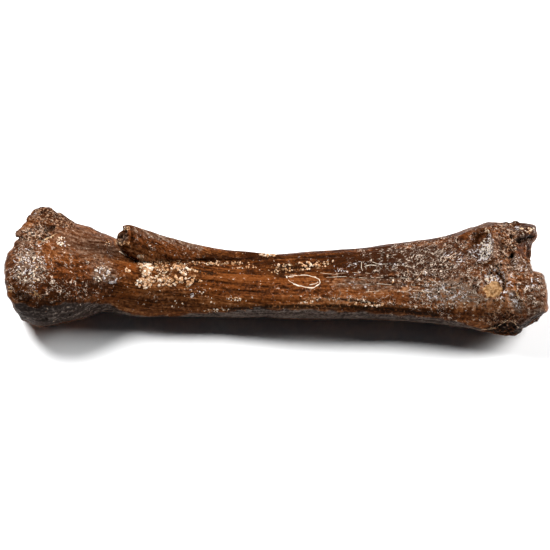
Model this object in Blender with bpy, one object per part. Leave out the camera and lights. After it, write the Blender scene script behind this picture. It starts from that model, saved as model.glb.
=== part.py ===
"""A fossil horse forearm bone: the radius, with the broken stump of the ulna grown fast to it.

It is one petrified piece, so it is one solid. Metres, +Z up. The bone lies on its front face.
X runs along it, from the elbow end at -X to the wrist end at +X. +Y is the outer side of the
leg, and +Z is the rear face, which is flat and carries the ulna along its outer edge.
Lengths below are millimetres, and "along" is counted from the elbow end.
"""

import math
from dataclasses import dataclass

import bmesh
import bpy
import numpy as np

MM = 0.001

# Driving dimensions of the whole bone.
LENGTH = 340.0
RING_SIDES = 52
RING_COUNT = 66
CAP_RINGS = 6
END_CROWDING = 0.72  # how strongly the rings crowd towards the two ends, 0 to 1
WORN_FLAT_DEPTH = 0.7  # what wear has taken off the bumps that the bone rests on

# Design curves: (along, value) in millimetres. Sides are counted from the bone's long axis,
# heights from the surface that the bone lies on.
INNER_EDGE = (
    (0, 30), (8, 32.5), (24, 34.5), (38, 32.5), (50, 28), (58, 23.5), (66, 21), (74, 21.5),
    (84, 22.5), (105, 22), (122, 22), (150, 24.5), (185, 26.5), (220, 26.5), (250, 27.5), (270, 29.5),
    (288, 32.5), (302, 36.5), (314, 38.5), (326, 37.5), (340, 34),
)  # fmt: skip
OUTER_EDGE = (
    (0, 33), (12, 38), (24, 42), (34, 41), (46, 38), (56, 35.5), (68, 31), (84, 25.5),
    (105, 19.5), (135, 17), (165, 16.5), (190, 18.5), (220, 22), (248, 26.5), (270, 29), (286, 31),
    (300, 35.5), (314, 38), (328, 38), (340, 35),
)  # fmt: skip
REAR_FACE = (
    (0, 47), (10, 50), (24, 48), (38, 45), (55, 41), (72, 37.5), (90, 34), (115, 31.5),
    (145, 30), (175, 30), (205, 30.5), (230, 31.5), (255, 34), (275, 38), (292, 43), (304, 46),
    (316, 45), (328, 43), (340, 40),
)  # fmt: skip
FRONT_FACE = (
    (0, 4), (12, 1.5), (30, 1), (48, 3), (75, 4), (110, 3), (150, 2), (190, 1.8),
    (230, 2.6), (265, 3.2), (290, 1.5), (306, 0.6), (320, 1), (340, 7),
)  # fmt: skip
WIDEST_LEVEL = (
    (0, 28), (30, 25), (48, 20), (60, 16), (78, 11), (122, 11), (145, 15), (168, 19.5),
    (190, 20), (212, 18), (240, 16), (300, 17), (340, 20),
)  # fmt: skip
REAR_SQUARENESS = ((0, 2.7), (30, 2.5), (70, 2.3), (120, 2.4), (200, 2.6), (270, 2.5), (340, 2.7))
FRONT_SQUARENESS = (
    (0, 2.6), (40, 2.3), (90, 2.2), (150, 2.4), (180, 2.8), (220, 2.6), (280, 2.5), (340, 2.8),
)  # fmt: skip

# How far each end surface is set back, across the bone: (side, set back), inner side first.
ELBOW_SET_BACK = (
    (-36, 10), (-30, 4.5), (-22, 1), (-12, 0), (0, 1.5), (8, 5.5), (18, 9.5), (28, 11.5),
    (36, 13), (43, 15),
)  # fmt: skip
WRIST_SET_BACK = (
    (-40, 6), (-33, 1), (-27, 0), (-17, 1), (-11, 3.5), (-6, 8.5), (0, 11.5), (10, 12),
    (16, 10.5), (21, 6), (27, 3.5), (33, 3), (40, 6),
)  # fmt: skip
END_ROUNDING = 5.0  # radius of the worn edges round both end surfaces
RIM_STEPS = 12  # tries at finding where the skin meets an end surface
ELBOW_FRONT_TOP = 20.0  # below this height the elbow end leans back
ELBOW_FRONT_LEAN = 0.45  # by this much per millimetre
ELBOW_CUP_DEPTH = 5.5
ELBOW_CUP_MIDDLE = 26.0
ELBOW_CUP_REACH = 20.0
ELBOW_RIDGE_SIDE = 6.0  # the ridge between the two cups of the elbow joint
ELBOW_RIDGE_WIDTH = 6.0
ELBOW_RIDGE_SHARE = 0.6  # how much of the cups' depth the ridge fills

# The worn-off inner corner of the wrist end: a slanted plane through a point on it.
WORN_CORNER_ALONG = 322.5
WORN_CORNER_SIDE = -34.0
WORN_CORNER_HEIGHT = 13.0
WORN_CORNER_SLOPE = (1.25, 1.0)  # millimetres along for each one outwards, and for each one up


@dataclass(frozen=True)
class Relief:
    """A bump, or a hollow if its height is negative, that fades out over its reach."""

    name: str
    at: tuple[float, float, float]
    reach: tuple[float, float, float]
    height: float


RELIEFS = (
    Relief("outer tuberosity", (24, 41, 36), (13, 9, 12), 4.5),
    Relief("inner tuberosity", (24, -35, 22), (15, 9, 13), 1.5),
    Relief("biceps tuberosity", (32, -18, 3), (13, 11, 9), 4.0),
    Relief("front outer foot", (30, 21, 3), (12, 9, 8), 4.1),
    Relief("neck groove, rear", (52, 8, 38), (15, 16, 12), -2.0),
    Relief("interosseous groove", (84, 8, 36), (15, 7, 9), -4.0),
    Relief("inner crest", (104, -27, 15), (34, 5, 9), 1.6),
    Relief("inner neck hollow", (64, -25, 20), (11, 7, 12), -2.0),
    Relief("rear face hollow", (205, 0, 31), (55, 9, 6), -1.2),
    Relief("rear crest, outer", (289, 22, 44), (8, 12, 9), 1.6),
    Relief("rear crest, inner", (293, -16, 43), (8, 13, 9), 1.6),
    Relief("rear fossa, outer", (299, 15, 46), (6, 9, 9), -4.2),
    Relief("rear fossa, inner", (305, -15, 45), (6, 9, 9), -3.8),
    Relief("rear rim", (309, 20, 46), (4, 12, 9), 1.6),
    Relief("condyle crease", (317, -10, 44), (4, 9, 11), -3.0),
    Relief("outer condyle undercut", (322, 27, 40), (5, 6, 5), -3.0),
    Relief("outer styloid", (318, 41, 24), (11, 8, 12), 2.0),
    Relief("inner styloid", (316, -38, 18), (10, 8, 9), 2.0),
    Relief("outer tendon groove", (312, 14, 0), (22, 5, 9), -3.0),
    Relief("middle tendon groove", (312, -8, 0), (22, 6, 9), -3.0),
    Relief("front ridge, outer", (304, 24, 2), (15, 6, 8), 4.2),
    Relief("front ridge, middle", (306, 5, 1), (14, 4, 8), 0.8),
    Relief("front ridge, inner", (304, -22, 2), (15, 6, 8), 3.4),
)

# The ulna: (along, side, height, half width, half height) of its tapering stump.
ULNA_STATIONS = (
    (74, 13.8, 44.2, 7.2, 5.6),
    (78, 13.6, 43.4, 8.4, 6.6),
    (90, 12.8, 38.2, 8.8, 7.0),
    (107, 11.2, 32.4, 8.4, 6.8),
    (123, 10.0, 28.6, 7.6, 6.2),
    (140, 9.4, 26.4, 6.6, 5.6),
    (160, 9.6, 24.8, 5.8, 5.0),
    (185, 10.0, 22.2, 5.0, 4.6),
    (208, 10.0, 19.0, 4.0, 4.0),
)
ULNA_SIDES = 20
ULNA_RINGS = 34
ULNA_LEAN = math.radians(36)  # its broad face slopes down towards the middle of the bone
ULNA_SQUARENESS = 2.5
BREAK_SLANT = 3.0  # how far the broken tip's upper edge stands back, and its lower edge forward
BREAK_REACH = 6.0  # how soon the slant dies out along the stump

BONE_COLOUR = (0.13, 0.055, 0.026, 1.0)
BONE_ROUGHNESS = 0.45


def smooth_curve(points, at):
    """The value at each place of a curve through the points, with no overshoot between them."""
    x, y = np.array(points, float).T
    step = np.diff(x)
    slope = np.diff(y) / step
    rise = np.zeros(len(x))
    rise[0], rise[-1] = slope[0], slope[-1]
    same_way = slope[:-1] * slope[1:] > 0
    before, after = 2 * step[1:] + step[:-1], step[1:] + 2 * step[:-1]
    with np.errstate(divide="ignore", invalid="ignore"):
        mean = (before + after) / (before / slope[:-1] + after / slope[1:])
    rise[1:-1] = np.where(same_way, mean, 0)
    at = np.clip(at, x[0], x[-1])
    i = np.clip(np.searchsorted(x, at, side="right") - 1, 0, len(x) - 2)
    t = (at - x[i]) / step[i]
    return (
        y[i] * (1 + 2 * t) * (1 - t) ** 2
        + y[i + 1] * t**2 * (3 - 2 * t)
        + step[i] * (rise[i] * t * (1 - t) ** 2 - rise[i + 1] * t**2 * (1 - t))
    )


def rounded(angle, squareness):
    """The two sides of a unit superellipse at each angle."""
    c, s = np.cos(angle), np.sin(angle)
    power = 2 / squareness
    return np.sign(c) * np.abs(c) ** power, np.sign(s) * np.abs(s) ** power


def shaft_section(along, angle, inset=0.0):
    """(side, height) of the bare shaft's skin. Angle 0 is the outer edge, and 90 degrees the rear face."""
    rear = np.sin(angle) >= 0
    squareness = np.where(rear, smooth_curve(REAR_SQUARENESS, along), smooth_curve(FRONT_SQUARENESS, along))
    across, up = rounded(angle, squareness)
    level = smooth_curve(WIDEST_LEVEL, along)
    edge = np.where(across >= 0, smooth_curve(OUTER_EDGE, along), smooth_curve(INNER_EDGE, along))
    reach = np.where(rear, smooth_curve(REAR_FACE, along) - level, level - smooth_curve(FRONT_FACE, along))
    return across * (edge - inset), level + up * (reach - inset)


def elbow_face(side, height):
    """How far along the elbow end's surface lies: two shallow cups parted by a ridge."""
    off_middle = (height - ELBOW_CUP_MIDDLE) / ELBOW_CUP_REACH
    ridge = ELBOW_RIDGE_SHARE * np.exp(-(((side - ELBOW_RIDGE_SIDE) / ELBOW_RIDGE_WIDTH) ** 2))
    cup = ELBOW_CUP_DEPTH * (1 - ridge) * np.clip(1 - off_middle**2, 0, 1)
    lean = ELBOW_FRONT_LEAN * np.clip(ELBOW_FRONT_TOP - height, 0, None)
    return smooth_curve(ELBOW_SET_BACK, side) + cup + lean


def wrist_face(side, height):
    """How far along the wrist end's surface lies: two condyles parted by a notch, and a worn corner."""
    square = LENGTH - smooth_curve(WRIST_SET_BACK, side)
    outwards, up = WORN_CORNER_SLOPE
    off_side, off_height = side - WORN_CORNER_SIDE, height - WORN_CORNER_HEIGHT
    return np.minimum(square, WORN_CORNER_ALONG + outwards * off_side + up * off_height)


def end_rim(face, start, angle):
    """How far along each line of the skin meets an end surface."""
    along = np.full(len(angle), start)
    for _ in range(RIM_STEPS):
        along = 0.5 * along + 0.5 * face(*shaft_section(along, angle, END_ROUNDING))
    return along


def crowded(count):
    """Shares of the way from one end to the other, closer together near both ends."""
    even = np.linspace(0, 1, count)
    return (1 - END_CROWDING) * even + END_CROWDING * (0.5 - 0.5 * np.cos(np.pi * even))


def new_object(name, shape):
    """An object in the scene that holds the shape as its mesh."""
    mesh = bpy.data.meshes.new(name)
    shape.to_mesh(mesh)
    shape.free()
    made = bpy.data.objects.new(name, mesh)
    bpy.context.scene.collection.objects.link(made)
    return made


def ring_mesh(name, rings, first_point, last_point):
    """A closed object through rings of points, with each end closed on a point."""
    shape = bmesh.new()
    rows = [[shape.verts.new(p) for p in ring] for ring in rings]
    sides = len(rows[0])
    for a, b in zip(rows, rows[1:]):
        for k in range(sides):
            shape.faces.new((a[k], a[(k + 1) % sides], b[(k + 1) % sides], b[k]))
    for row, point in ((rows[0], first_point), (rows[-1], last_point)):
        tip = shape.verts.new(point)
        for k in range(sides):
            shape.faces.new((row[k], row[(k + 1) % sides], tip))
    bmesh.ops.recalc_face_normals(shape, faces=shape.faces)
    return new_object(name, shape)


def edge_inset(from_end):
    """How far the skin has rounded inwards, by its distance from the nearer end surface."""
    left = np.clip(END_ROUNDING - from_end, 0, END_ROUNDING)
    return END_ROUNDING - np.sqrt(END_ROUNDING**2 - left**2)


def cap_rings(face, along, angle):
    """Rings from an end's rim inwards over its surface, and the point in the middle."""
    side, height = shaft_section(along, angle, END_ROUNDING)
    middle_side, middle_height = side.mean(), height.mean()
    found = []
    for share in np.linspace(1, 0, CAP_RINGS + 2)[1:-1]:
        s = middle_side + share * (side - middle_side)
        h = middle_height + share * (height - middle_height)
        found.append(np.stack([face(s, h), s, h], 1))
    tip = (float(face(middle_side, middle_height)), middle_side, middle_height)
    return found, tip


def build_radius():
    """The radius before the ulna is joined to it."""
    angle = np.linspace(0, 2 * np.pi, RING_SIDES, endpoint=False)
    elbow = end_rim(elbow_face, 0.0, angle)
    wrist = end_rim(wrist_face, LENGTH, angle)
    rings = []
    for share in crowded(RING_COUNT):
        along = elbow + share * (wrist - elbow)
        side, height = shaft_section(along, angle, edge_inset(np.minimum(along - elbow, wrist - along)))
        rings.append(np.stack([along, side, height], 1))
    elbow_cap, elbow_tip = cap_rings(elbow_face, elbow, angle)
    wrist_cap, wrist_tip = cap_rings(wrist_face, wrist, angle)
    bone = ring_mesh("bone", elbow_cap[::-1] + rings + wrist_cap, elbow_tip, wrist_tip)
    raise_reliefs(bone.data)
    return bone


def raise_reliefs(mesh):
    """Moves the skin out along its normals by every relief that reaches it."""
    place = points_of(mesh)
    normal = np.array([n.vector for n in mesh.vertex_normals])
    raised = np.zeros(len(place))
    for relief in RELIEFS:
        off = (place - relief.at) / relief.reach
        raised += relief.height * np.exp(-(off**2).sum(1))
    set_points(mesh, place + normal * raised[:, None])


def build_ulna():
    """The ulna's stump: thick and broken off square at its free tip, thinning into the shaft."""
    station = np.array(ULNA_STATIONS, float)
    angle = np.linspace(0, 2 * np.pi, ULNA_SIDES, endpoint=False)
    across, up = rounded(angle, ULNA_SQUARENESS)
    lean_c, lean_s = math.cos(ULNA_LEAN), math.sin(ULNA_LEAN)
    rings = []
    for along in np.linspace(station[0, 0], station[-1, 0], ULNA_RINGS):
        side, height, half_width, half_height = (
            smooth_curve(station[:, [0, k]], along) for k in range(1, 5)
        )
        w, h = across * half_width, up * half_height
        slant = BREAK_SLANT * math.exp((station[0, 0] - along) / BREAK_REACH)
        ring = [along + slant * up, side + w * lean_c - h * lean_s, height + w * lean_s + h * lean_c]
        rings.append(np.stack(ring, 1))
    ends = [tuple(ring.mean(0)) for ring in (rings[0], rings[-1])]
    return ring_mesh("ulna", rings, *ends)


def combine(target, other, operation):
    """Joins another mesh to the target, or cuts it away, and keeps the result in the target's mesh."""
    change = target.modifiers.new(operation, "BOOLEAN")
    change.operation = operation
    change.object = other
    graph = bpy.context.evaluated_depsgraph_get()
    result = bpy.data.meshes.new_from_object(target.evaluated_get(graph))
    target.modifiers.clear()
    target.data = result
    bpy.data.objects.remove(other)


def floor_block():
    """The block that trims the bone's lowest bumps to small worn flats, its top at height 0."""
    block = bmesh.new()
    bmesh.ops.create_cube(block, size=LENGTH * 2)
    bmesh.ops.translate(block, vec=(0, 0, -LENGTH), verts=block.verts)
    return new_object("floor_block", block)


def points_of(mesh):
    """The mesh's points as an array."""
    return np.array([v.co for v in mesh.vertices])


def set_points(mesh, place):
    """Gives the mesh's points new places."""
    mesh.vertices.foreach_set("co", place.astype(np.float32).ravel())
    mesh.update()


def centre_on_floor(bone):
    """Puts the middle of the bone's box over the origin, with its worn flats at height 0."""
    place = points_of(bone.data)
    low, high = place.min(0), place.max(0)
    middle = (low + high) / 2
    set_points(bone.data, place - (middle[0], middle[1], low[2] + WORN_FLAT_DEPTH))
    combine(bone, floor_block(), "DIFFERENCE")


def petrified_bone():
    """The dark brown mineralised bone."""
    material = bpy.data.materials.new("petrified_bone")
    material.use_nodes = True
    shader = material.node_tree.nodes["Principled BSDF"]
    shader.inputs["Base Color"].default_value = BONE_COLOUR
    shader.inputs["Roughness"].default_value = BONE_ROUGHNESS
    shader.inputs["Metallic"].default_value = 0.0
    return material


def main():
    """Clears the scene and models the bone."""
    for old in list(bpy.data.objects):
        bpy.data.objects.remove(old)
    bone = build_radius()
    combine(bone, build_ulna(), "UNION")
    centre_on_floor(bone)
    set_points(bone.data, points_of(bone.data) * MM)
    bone.data.shade_smooth()
    bone.data.materials.clear()
    bone.data.materials.append(petrified_bone())


main()
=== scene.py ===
"""The looks of a fossil horse forearm bone: the radius with the broken stump of the ulna.

The bone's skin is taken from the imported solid, remeshed finely and sculpted in code, and the
sediment that still sticks to it is made of grains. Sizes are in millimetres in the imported
frame: x runs along the bone from the elbow end (-) to the wrist end (+), y points to the outer
side of the leg, and z is the height above the table. Places on the side that lies uppermost
are given on the maker's sheet: a drawing 550 units wide, taken through the camera's viewpoint.
"""

import logging
import math
from dataclasses import dataclass, field
from enum import Enum

import bmesh
import bpy
import numpy as np
from mathutils import Matrix, Quaternion, Vector
from mathutils.bvhtree import BVHTree


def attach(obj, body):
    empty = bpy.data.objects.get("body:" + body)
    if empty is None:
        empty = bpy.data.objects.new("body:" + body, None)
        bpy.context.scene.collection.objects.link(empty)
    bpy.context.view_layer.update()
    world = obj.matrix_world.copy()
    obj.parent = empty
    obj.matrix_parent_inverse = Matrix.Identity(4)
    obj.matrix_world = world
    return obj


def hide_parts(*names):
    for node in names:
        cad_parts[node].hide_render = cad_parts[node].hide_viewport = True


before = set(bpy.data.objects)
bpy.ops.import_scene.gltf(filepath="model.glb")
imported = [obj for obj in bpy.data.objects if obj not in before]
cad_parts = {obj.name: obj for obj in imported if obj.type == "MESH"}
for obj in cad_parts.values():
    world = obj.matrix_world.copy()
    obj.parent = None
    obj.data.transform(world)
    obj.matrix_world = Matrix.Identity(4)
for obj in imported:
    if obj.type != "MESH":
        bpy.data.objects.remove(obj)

MM = 0.001
NODE = "bone"
LOG = logging.getLogger("fossil")

Array = np.ndarray
Place = tuple[float, float]
Path = tuple[Place, ...]
Spot = tuple[float, float, float]
Colour = tuple[float, float, float]
Socket = bpy.types.NodeSocket
Value = Socket | float | Colour

# Lines on the sheet that several carvings and stains share.
ULNA_SEAM = ((150, 259), (190, 260.3), (222, 259.4), (262, 258.6), (300, 257), (345, 255.5))
EDGE_SHADE = (
    (225, 309), (262, 306.5), (300, 306), (345, 305.5), (375, 308), (400, 310), (440, 315),
)
LOWER_STREAK = ((300, 298.5), (330, 298), (360, 300), (400, 304), (440, 307))
CORNER_RIM = ((481, 328.5), (491, 327.5), (500, 323), (508, 318.5), (514, 321), (519, 328))
FOSSA_RIB = ((491, 232), (494, 245), (493, 262))
CLEFT_LINE = ((118, 251), (126, 255), (135, 260))
GROOVE = ((507, 286), (513, 299), (522, 315))
RING_TOP = ((287, 278), (285.4, 276), (290, 275), (300, 274.8), (309, 275), (315.5, 277))
FOOT_LINE = ((481, 329), (489, 328.6), (496, 327.4), (503, 321.8), (508, 319.4))


class Mark(Enum):
    """The marks on the skin that the bone's finish reads."""

    RUST = "rust"
    ASH = "ash"
    SPECKLE = "speckle"
    CHALK = "chalk"
    CREAM = "cream"
    OCHRE = "ochre"
    # Near-black marks: dark stains and cracks, and painted shade in hollows, crevices and under
    # edges.
    DARK_STAIN_AND_PAINTED_SHADE = "near_black"
    # Holes and pores painted near black: dust in them, and painted shade in the hollows.
    HOLE = "hole"
    # The grey underside: painted shade and floor reflection on the faces that turn under.
    PAINTED_UNDERSIDE_SHADE = "under"
    # Lighter tone: real wear, and painted light and highlights where the lamps leave faces dark.
    WEAR_AND_PAINTED_LIGHT = "wear_and_painted_light"
    # Darker tone: partly darker bone, and partly painted shade on faces that the lamps light
    # brightly.
    DARK_TONE_AND_PAINTED_SHADE = "dark_tone_and_painted_shade"
    NET = "net"


def step(low: float, high: float, value: Array) -> Array:
    """A smooth rise from 0 at low to 1 at high, or a fall where high is the lower one."""
    t = np.clip((value - low) / (high - low), 0.0, 1.0)
    return t * t * (3.0 - 2.0 * t)


def read(rows: bpy.types.bpy_prop_collection, name: str, width: int, kind: type = float) -> Array:
    """Reads a value from each of a mesh's points or edges.

    Args:
        rows: The points or edges.
        name: The value's name.
        width: How many numbers it has.
        kind: The kind of number.

    Returns:
        The values, one row each.
    """
    flat = np.zeros(len(rows) * width, dtype=kind)
    rows.foreach_get(name, flat)
    return flat.reshape(-1, width)


def placed(name: str, data: bpy.types.ID) -> bpy.types.Object:
    """Puts an object in the scene.

    Args:
        name: The object's name.
        data: Its mesh, light or camera.

    Returns:
        The object.
    """
    made = bpy.data.objects.new(name, data)
    bpy.context.scene.collection.objects.link(made)
    return made


def turned(u: Array, v: Array, degrees: float) -> tuple[Array, Array]:
    """Turns places, given by how far right and down they are, clockwise about the middle."""
    c, s = math.cos(math.radians(degrees)), math.sin(math.radians(degrees))
    return u * c - v * s, u * s + v * c


@dataclass(frozen=True)
class Grain:
    """Repeatable noise in space, set by a seed."""

    seed: int
    layer_shift: float = 17.3
    layer_gain: float = 1.3

    def _draw(self, cell: Array, salt: int = 0) -> Array:
        """Draws a random share for each whole-numbered cell, by scrambling its numbers.

        Args:
            cell: The cells, one row each.
            salt: Which of a cell's shares to draw.

        Returns:
            A share from 0 to 1 for each cell, always the same.
        """
        c = cell.astype(np.int64).astype(np.uint32)
        with np.errstate(over="ignore"):
            h = c[..., 0] * np.uint32(374761393) + c[..., 1] * np.uint32(668265263)
            h = h + c[..., 2] * np.uint32(2246822519) + np.uint32(self.seed * 7919 + salt * 104729)
            h = (h ^ (h >> np.uint32(13))) * np.uint32(1274126177)
            h = (h ^ (h >> np.uint32(16))) * np.uint32(2654435769)
        return ((h >> np.uint32(8)) & np.uint32(0xFFFF)) / 65535.0

    def soft(self, points: Array, size: float | Spot) -> Array:
        """Smooth lumps of about the given size.

        Args:
            points: The places, one row each.
            size: The size of a lump, or one size for each axis.

        Returns:
            A value from -1 to 1 for each place.
        """
        scaled = points / np.asarray(size)
        cell = np.floor(scaled)
        t = scaled - cell
        t = t * t * t * (t * (t * 6.0 - 15.0) + 10.0)
        shares = [(1.0 - t[:, k], t[:, k]) for k in range(3)]
        total = np.zeros(len(points))
        for i, j, k in np.ndindex(2, 2, 2):
            total += shares[0][i] * shares[1][j] * shares[2][k] * self._draw(cell + (i, j, k))
        return total * 2.0 - 1.0

    def layered(self, points: Array, size: float | Spot, layers: int = 3) -> Array:
        """Lumps with finer lumps on them.

        Args:
            points: The places, one row each.
            size: The size of the largest lumps.
            layers: How many sizes there are, each half as large and half as strong.

        Returns:
            A value of about -1 to 1 for each place.
        """
        total = np.zeros(len(points))
        weight = 0.0
        for k in range(layers):
            lumps = self.soft(points + self.layer_shift * k, np.asarray(size) / 2.0**k)
            total += lumps * 0.5**k
            weight += 0.5**k
        return total / weight * self.layer_gain

    def cells(self, points: Array, size: float | Spot) -> tuple[Array, Array, Array]:
        """Pores or crumbs: cells around scattered middles.

        Args:
            points: The places, one row each.
            size: The spacing of the middles.

        Returns:
            The distance to the nearest middle and to the next one, as shares of the spacing,
            and a random share that is the same all over a cell.
        """
        scaled = points / np.asarray(size)
        home = np.floor(scaled)
        nearest = np.full(len(points), 9.0)
        second = np.full(len(points), 9.0)
        own = np.zeros(len(points))
        for offset in np.ndindex(3, 3, 3):
            cell = home + np.array(offset) - 1
            middle = cell + np.stack([self._draw(cell, salt) for salt in (1, 2, 3)], axis=1)
            away = np.linalg.norm(scaled - middle, axis=1)
            closer = away < nearest
            second = np.where(closer, nearest, np.minimum(second, away))
            own = np.where(closer, self._draw(cell, 4), own)
            nearest = np.where(closer, away, nearest)
        return nearest, second, own


@dataclass(frozen=True)
class Sheet:
    """The viewpoint that the camera and the maker's sheet share."""

    aim: Spot = (-0.4, 0.0, 20.5)
    elevation: float = 52.0
    distance: float = 1600.0
    width: float = 550.0
    middle: Place = (274.5, 274.5)
    units_per_mm: float = 1.582

    def axes(self) -> tuple[Array, Array, Array]:
        """The sheet's right, its up and the direction towards the eye.

        Returns:
            The three directions.
        """
        e = math.radians(self.elevation)
        right = np.array((1.0, 0.0, 0.0))
        back = np.array((0.0, -math.cos(e), math.sin(e)))
        return right, np.cross(back, right), back

    def eye(self) -> Array:
        """The viewpoint, in millimetres."""
        return np.array(self.aim) + self.axes()[2] * self.distance

    def reach(self) -> float:
        """How far behind the sheet's middle the eye is, in the sheet's units."""
        return self.units_per_mm * self.distance

    def project(self, points: Array) -> Array:
        """Draws points on the sheet.

        Args:
            points: The points, in millimetres.

        Returns:
            How far right and how far down each point falls.
        """
        right, up, back = self.axes()
        off = points - self.eye()
        scale = self.reach() / -(off @ back)
        across = self.middle[0] + off @ right * scale
        down = self.middle[1] - off @ up * scale
        return np.stack([across, down], axis=1)

    def ray(self, at: Place) -> tuple[Vector, Vector]:
        """The line of sight through a place on the sheet.

        Args:
            at: How far right and down the place is.

        Returns:
            The eye and the direction.
        """
        right, up, back = self.axes()
        side, drop = at[0] - self.middle[0], at[1] - self.middle[1]
        way = right * side - up * drop - back * self.reach()
        return Vector(self.eye()), Vector(way / np.linalg.norm(way))


SHEET = Sheet()


class Skin:
    """The bone's surface as arrays, in millimetres, with the tools that sculpt it."""

    voxel: float = 0.70
    seam: tuple[tuple[Spot, float], ...] = (
        ((-95, 8.5, 37.5), 3), ((-88, 6, 37), 4.8), ((-79, 5, 35), 4.8), ((-70, 4.3, 33), 4),
        ((-54, 4.2, 31.6), 3.2), ((-34, 5.5, 29), 2.2), ((-14, 5.5, 27.5), 1.5),
    )
    seam_pace: float = 0.1
    pulls: Place = (0.55, -0.56)
    grazing: float = 0.22

    def __init__(self, node: bpy.types.Object, relax_passes: int) -> None:
        """Takes the node's surface, remeshes it finely and smooths its facets away.

        Args:
            node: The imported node.
            relax_passes: How many passes of smoothing it gets.
        """
        self.mesh = self._fine_mesh(node)
        self.points = read(self.mesh.vertices, "co", 3) / MM
        self.ends = read(self.mesh.edges, "vertices", 2, np.int32)
        self.valence = np.bincount(self.ends.ravel(), minlength=len(self.points))
        self.marks = {mark: np.zeros(len(self.points)) for mark in Mark}
        self.refresh()
        self.relax(relax_passes)
        self.settle()

    def _fine_mesh(self, node: bpy.types.Object) -> bpy.types.Mesh:
        """Copies the node's mesh, fills the seam under the ulna and remeshes the whole.

        Args:
            node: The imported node, which stays as it is.

        Returns:
            The fine mesh.
        """
        copy = node.copy()
        copy.data = node.data.copy()
        shape = bmesh.new()
        shape.from_mesh(copy.data)
        for (at, size), (ahead, size_ahead) in zip(self.seam, self.seam[1:]):
            for share in np.arange(0.0, 1.0, self.seam_pace):
                middle = (Vector(at).lerp(Vector(ahead), share)) * MM
                radius = (size + (size_ahead - size) * share) * MM
                place = Matrix.Translation(middle)
                bmesh.ops.create_icosphere(shape, subdivisions=2, radius=radius, matrix=place)
        shape.to_mesh(copy.data)
        shape.free()
        bpy.context.scene.collection.objects.link(copy)
        remesh = copy.modifiers.new("fine", "REMESH")
        remesh.mode = "VOXEL"
        remesh.voxel_size = self.voxel * MM
        graph = bpy.context.evaluated_depsgraph_get()
        mesh = bpy.data.meshes.new_from_object(copy.evaluated_get(graph))
        bpy.data.objects.remove(copy)
        return mesh

    def settle(self) -> None:
        """Takes the present shape as the one that places on the sheet are drawn on."""
        self.base = self.points.copy()
        self.way = self.normals.copy()
        self.drawn = SHEET.project(self.base)
        towards = SHEET.eye() - self.base
        towards /= np.linalg.norm(towards, axis=1)[:, None]
        self.seen = step(0.0, self.grazing, np.sum(self.way * towards, axis=1))

    def refresh(self) -> None:
        """Writes the points to the mesh and reads its normals back."""
        self.mesh.vertices.foreach_set("co", (self.points * MM).astype(np.float32).ravel())
        self.mesh.update()
        self.normals = read(self.mesh.vertex_normals, "vector", 3)

    def around(self, values: Array) -> Array:
        """The mean of each point's neighbours.

        Args:
            values: One row for each point.

        Returns:
            The means, in the same shape.
        """
        a, b = self.ends[:, 0], self.ends[:, 1]
        total = [
            np.bincount(a, column[b], len(values)) + np.bincount(b, column[a], len(values))
            for column in values.T
        ]
        return np.stack(total, axis=1) / self.valence[:, None]

    def relax(self, times: int, share: Array | float = 1.0) -> None:
        """Smooths the surface without shrinking it.

        Args:
            times: How many passes to make.
            share: How much of it each point gets.
        """
        weight = np.broadcast_to(np.asarray(share, float), len(self.points))[:, None]
        for _ in range(times):
            for pull in self.pulls:
                self.points += weight * pull * (self.around(self.points) - self.points)
        self.refresh()

    def raise_by(self, height: Array) -> None:
        """Moves the skin out, or in where the height is negative."""
        self.points += self.normals * height[:, None]
        self.refresh()

    def mark(self, mark: Mark, share: Array) -> None:
        """Strengthens a mark where share is stronger than what is there."""
        self.marks[mark] = np.maximum(self.marks[mark], share)

    def wipe(self, mark: Mark, share: Array) -> None:
        """Takes a share of a mark away."""
        self.marks[mark] = self.marks[mark] * (1.0 - share)


def ragged_edge(patch: "Oval | Ball", skin: Skin, away: Array, seed: int) -> Array:
    """Turns distances from a patch's middle into shares, with a ragged and soft edge.

    Args:
        patch: The patch.
        skin: The bone's skin.
        away: Each point's distance from the middle, 1 on the edge.
        seed: The seed of the edge's lumps.

    Returns:
        A share from 0 to 1 for each point.
    """
    near = away < 2.5
    away[near] += patch.ragged * Grain(seed).layered(skin.base[near], patch.lumps)
    return step(1.0 + patch.soft / 2, 1.0 - patch.soft / 2, away)


@dataclass(frozen=True)
class Oval:
    """An oval area on the sheet."""

    at: Place
    reach: Place
    turn: float = 0.0
    ragged: float = 0.3
    soft: float = 0.5
    lumps: float = 4.0

    def share(self, skin: Skin) -> Array:
        """How much each point of the skin lies in the oval.

        Args:
            skin: The bone's skin.

        Returns:
            A share from 0 to 1 for each point.
        """
        off = skin.drawn - np.array(self.at)
        u, v = turned(off[:, 0], off[:, 1], -self.turn)
        away = np.hypot(u / self.reach[0], v / self.reach[1])
        seed = int(self.at[0] * 3 + self.at[1] * 7)
        return ragged_edge(self, skin, away, seed) * skin.seen


@dataclass(frozen=True)
class Ball:
    """A round region in space, in millimetres."""

    at: Spot
    reach: Spot
    ragged: float = 0.3
    soft: float = 0.6
    lumps: float = 6.0

    def share(self, skin: Skin) -> Array:
        """How much each point of the skin lies in the region.

        Args:
            skin: The bone's skin.

        Returns:
            A share from 0 to 1 for each point.
        """
        away = np.linalg.norm((skin.base - np.array(self.at)) / np.array(self.reach), axis=1)
        seed = int(abs(self.at[0]) * 3 + abs(self.at[1]) * 7 + 3)
        return ragged_edge(self, skin, away, seed)


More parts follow.
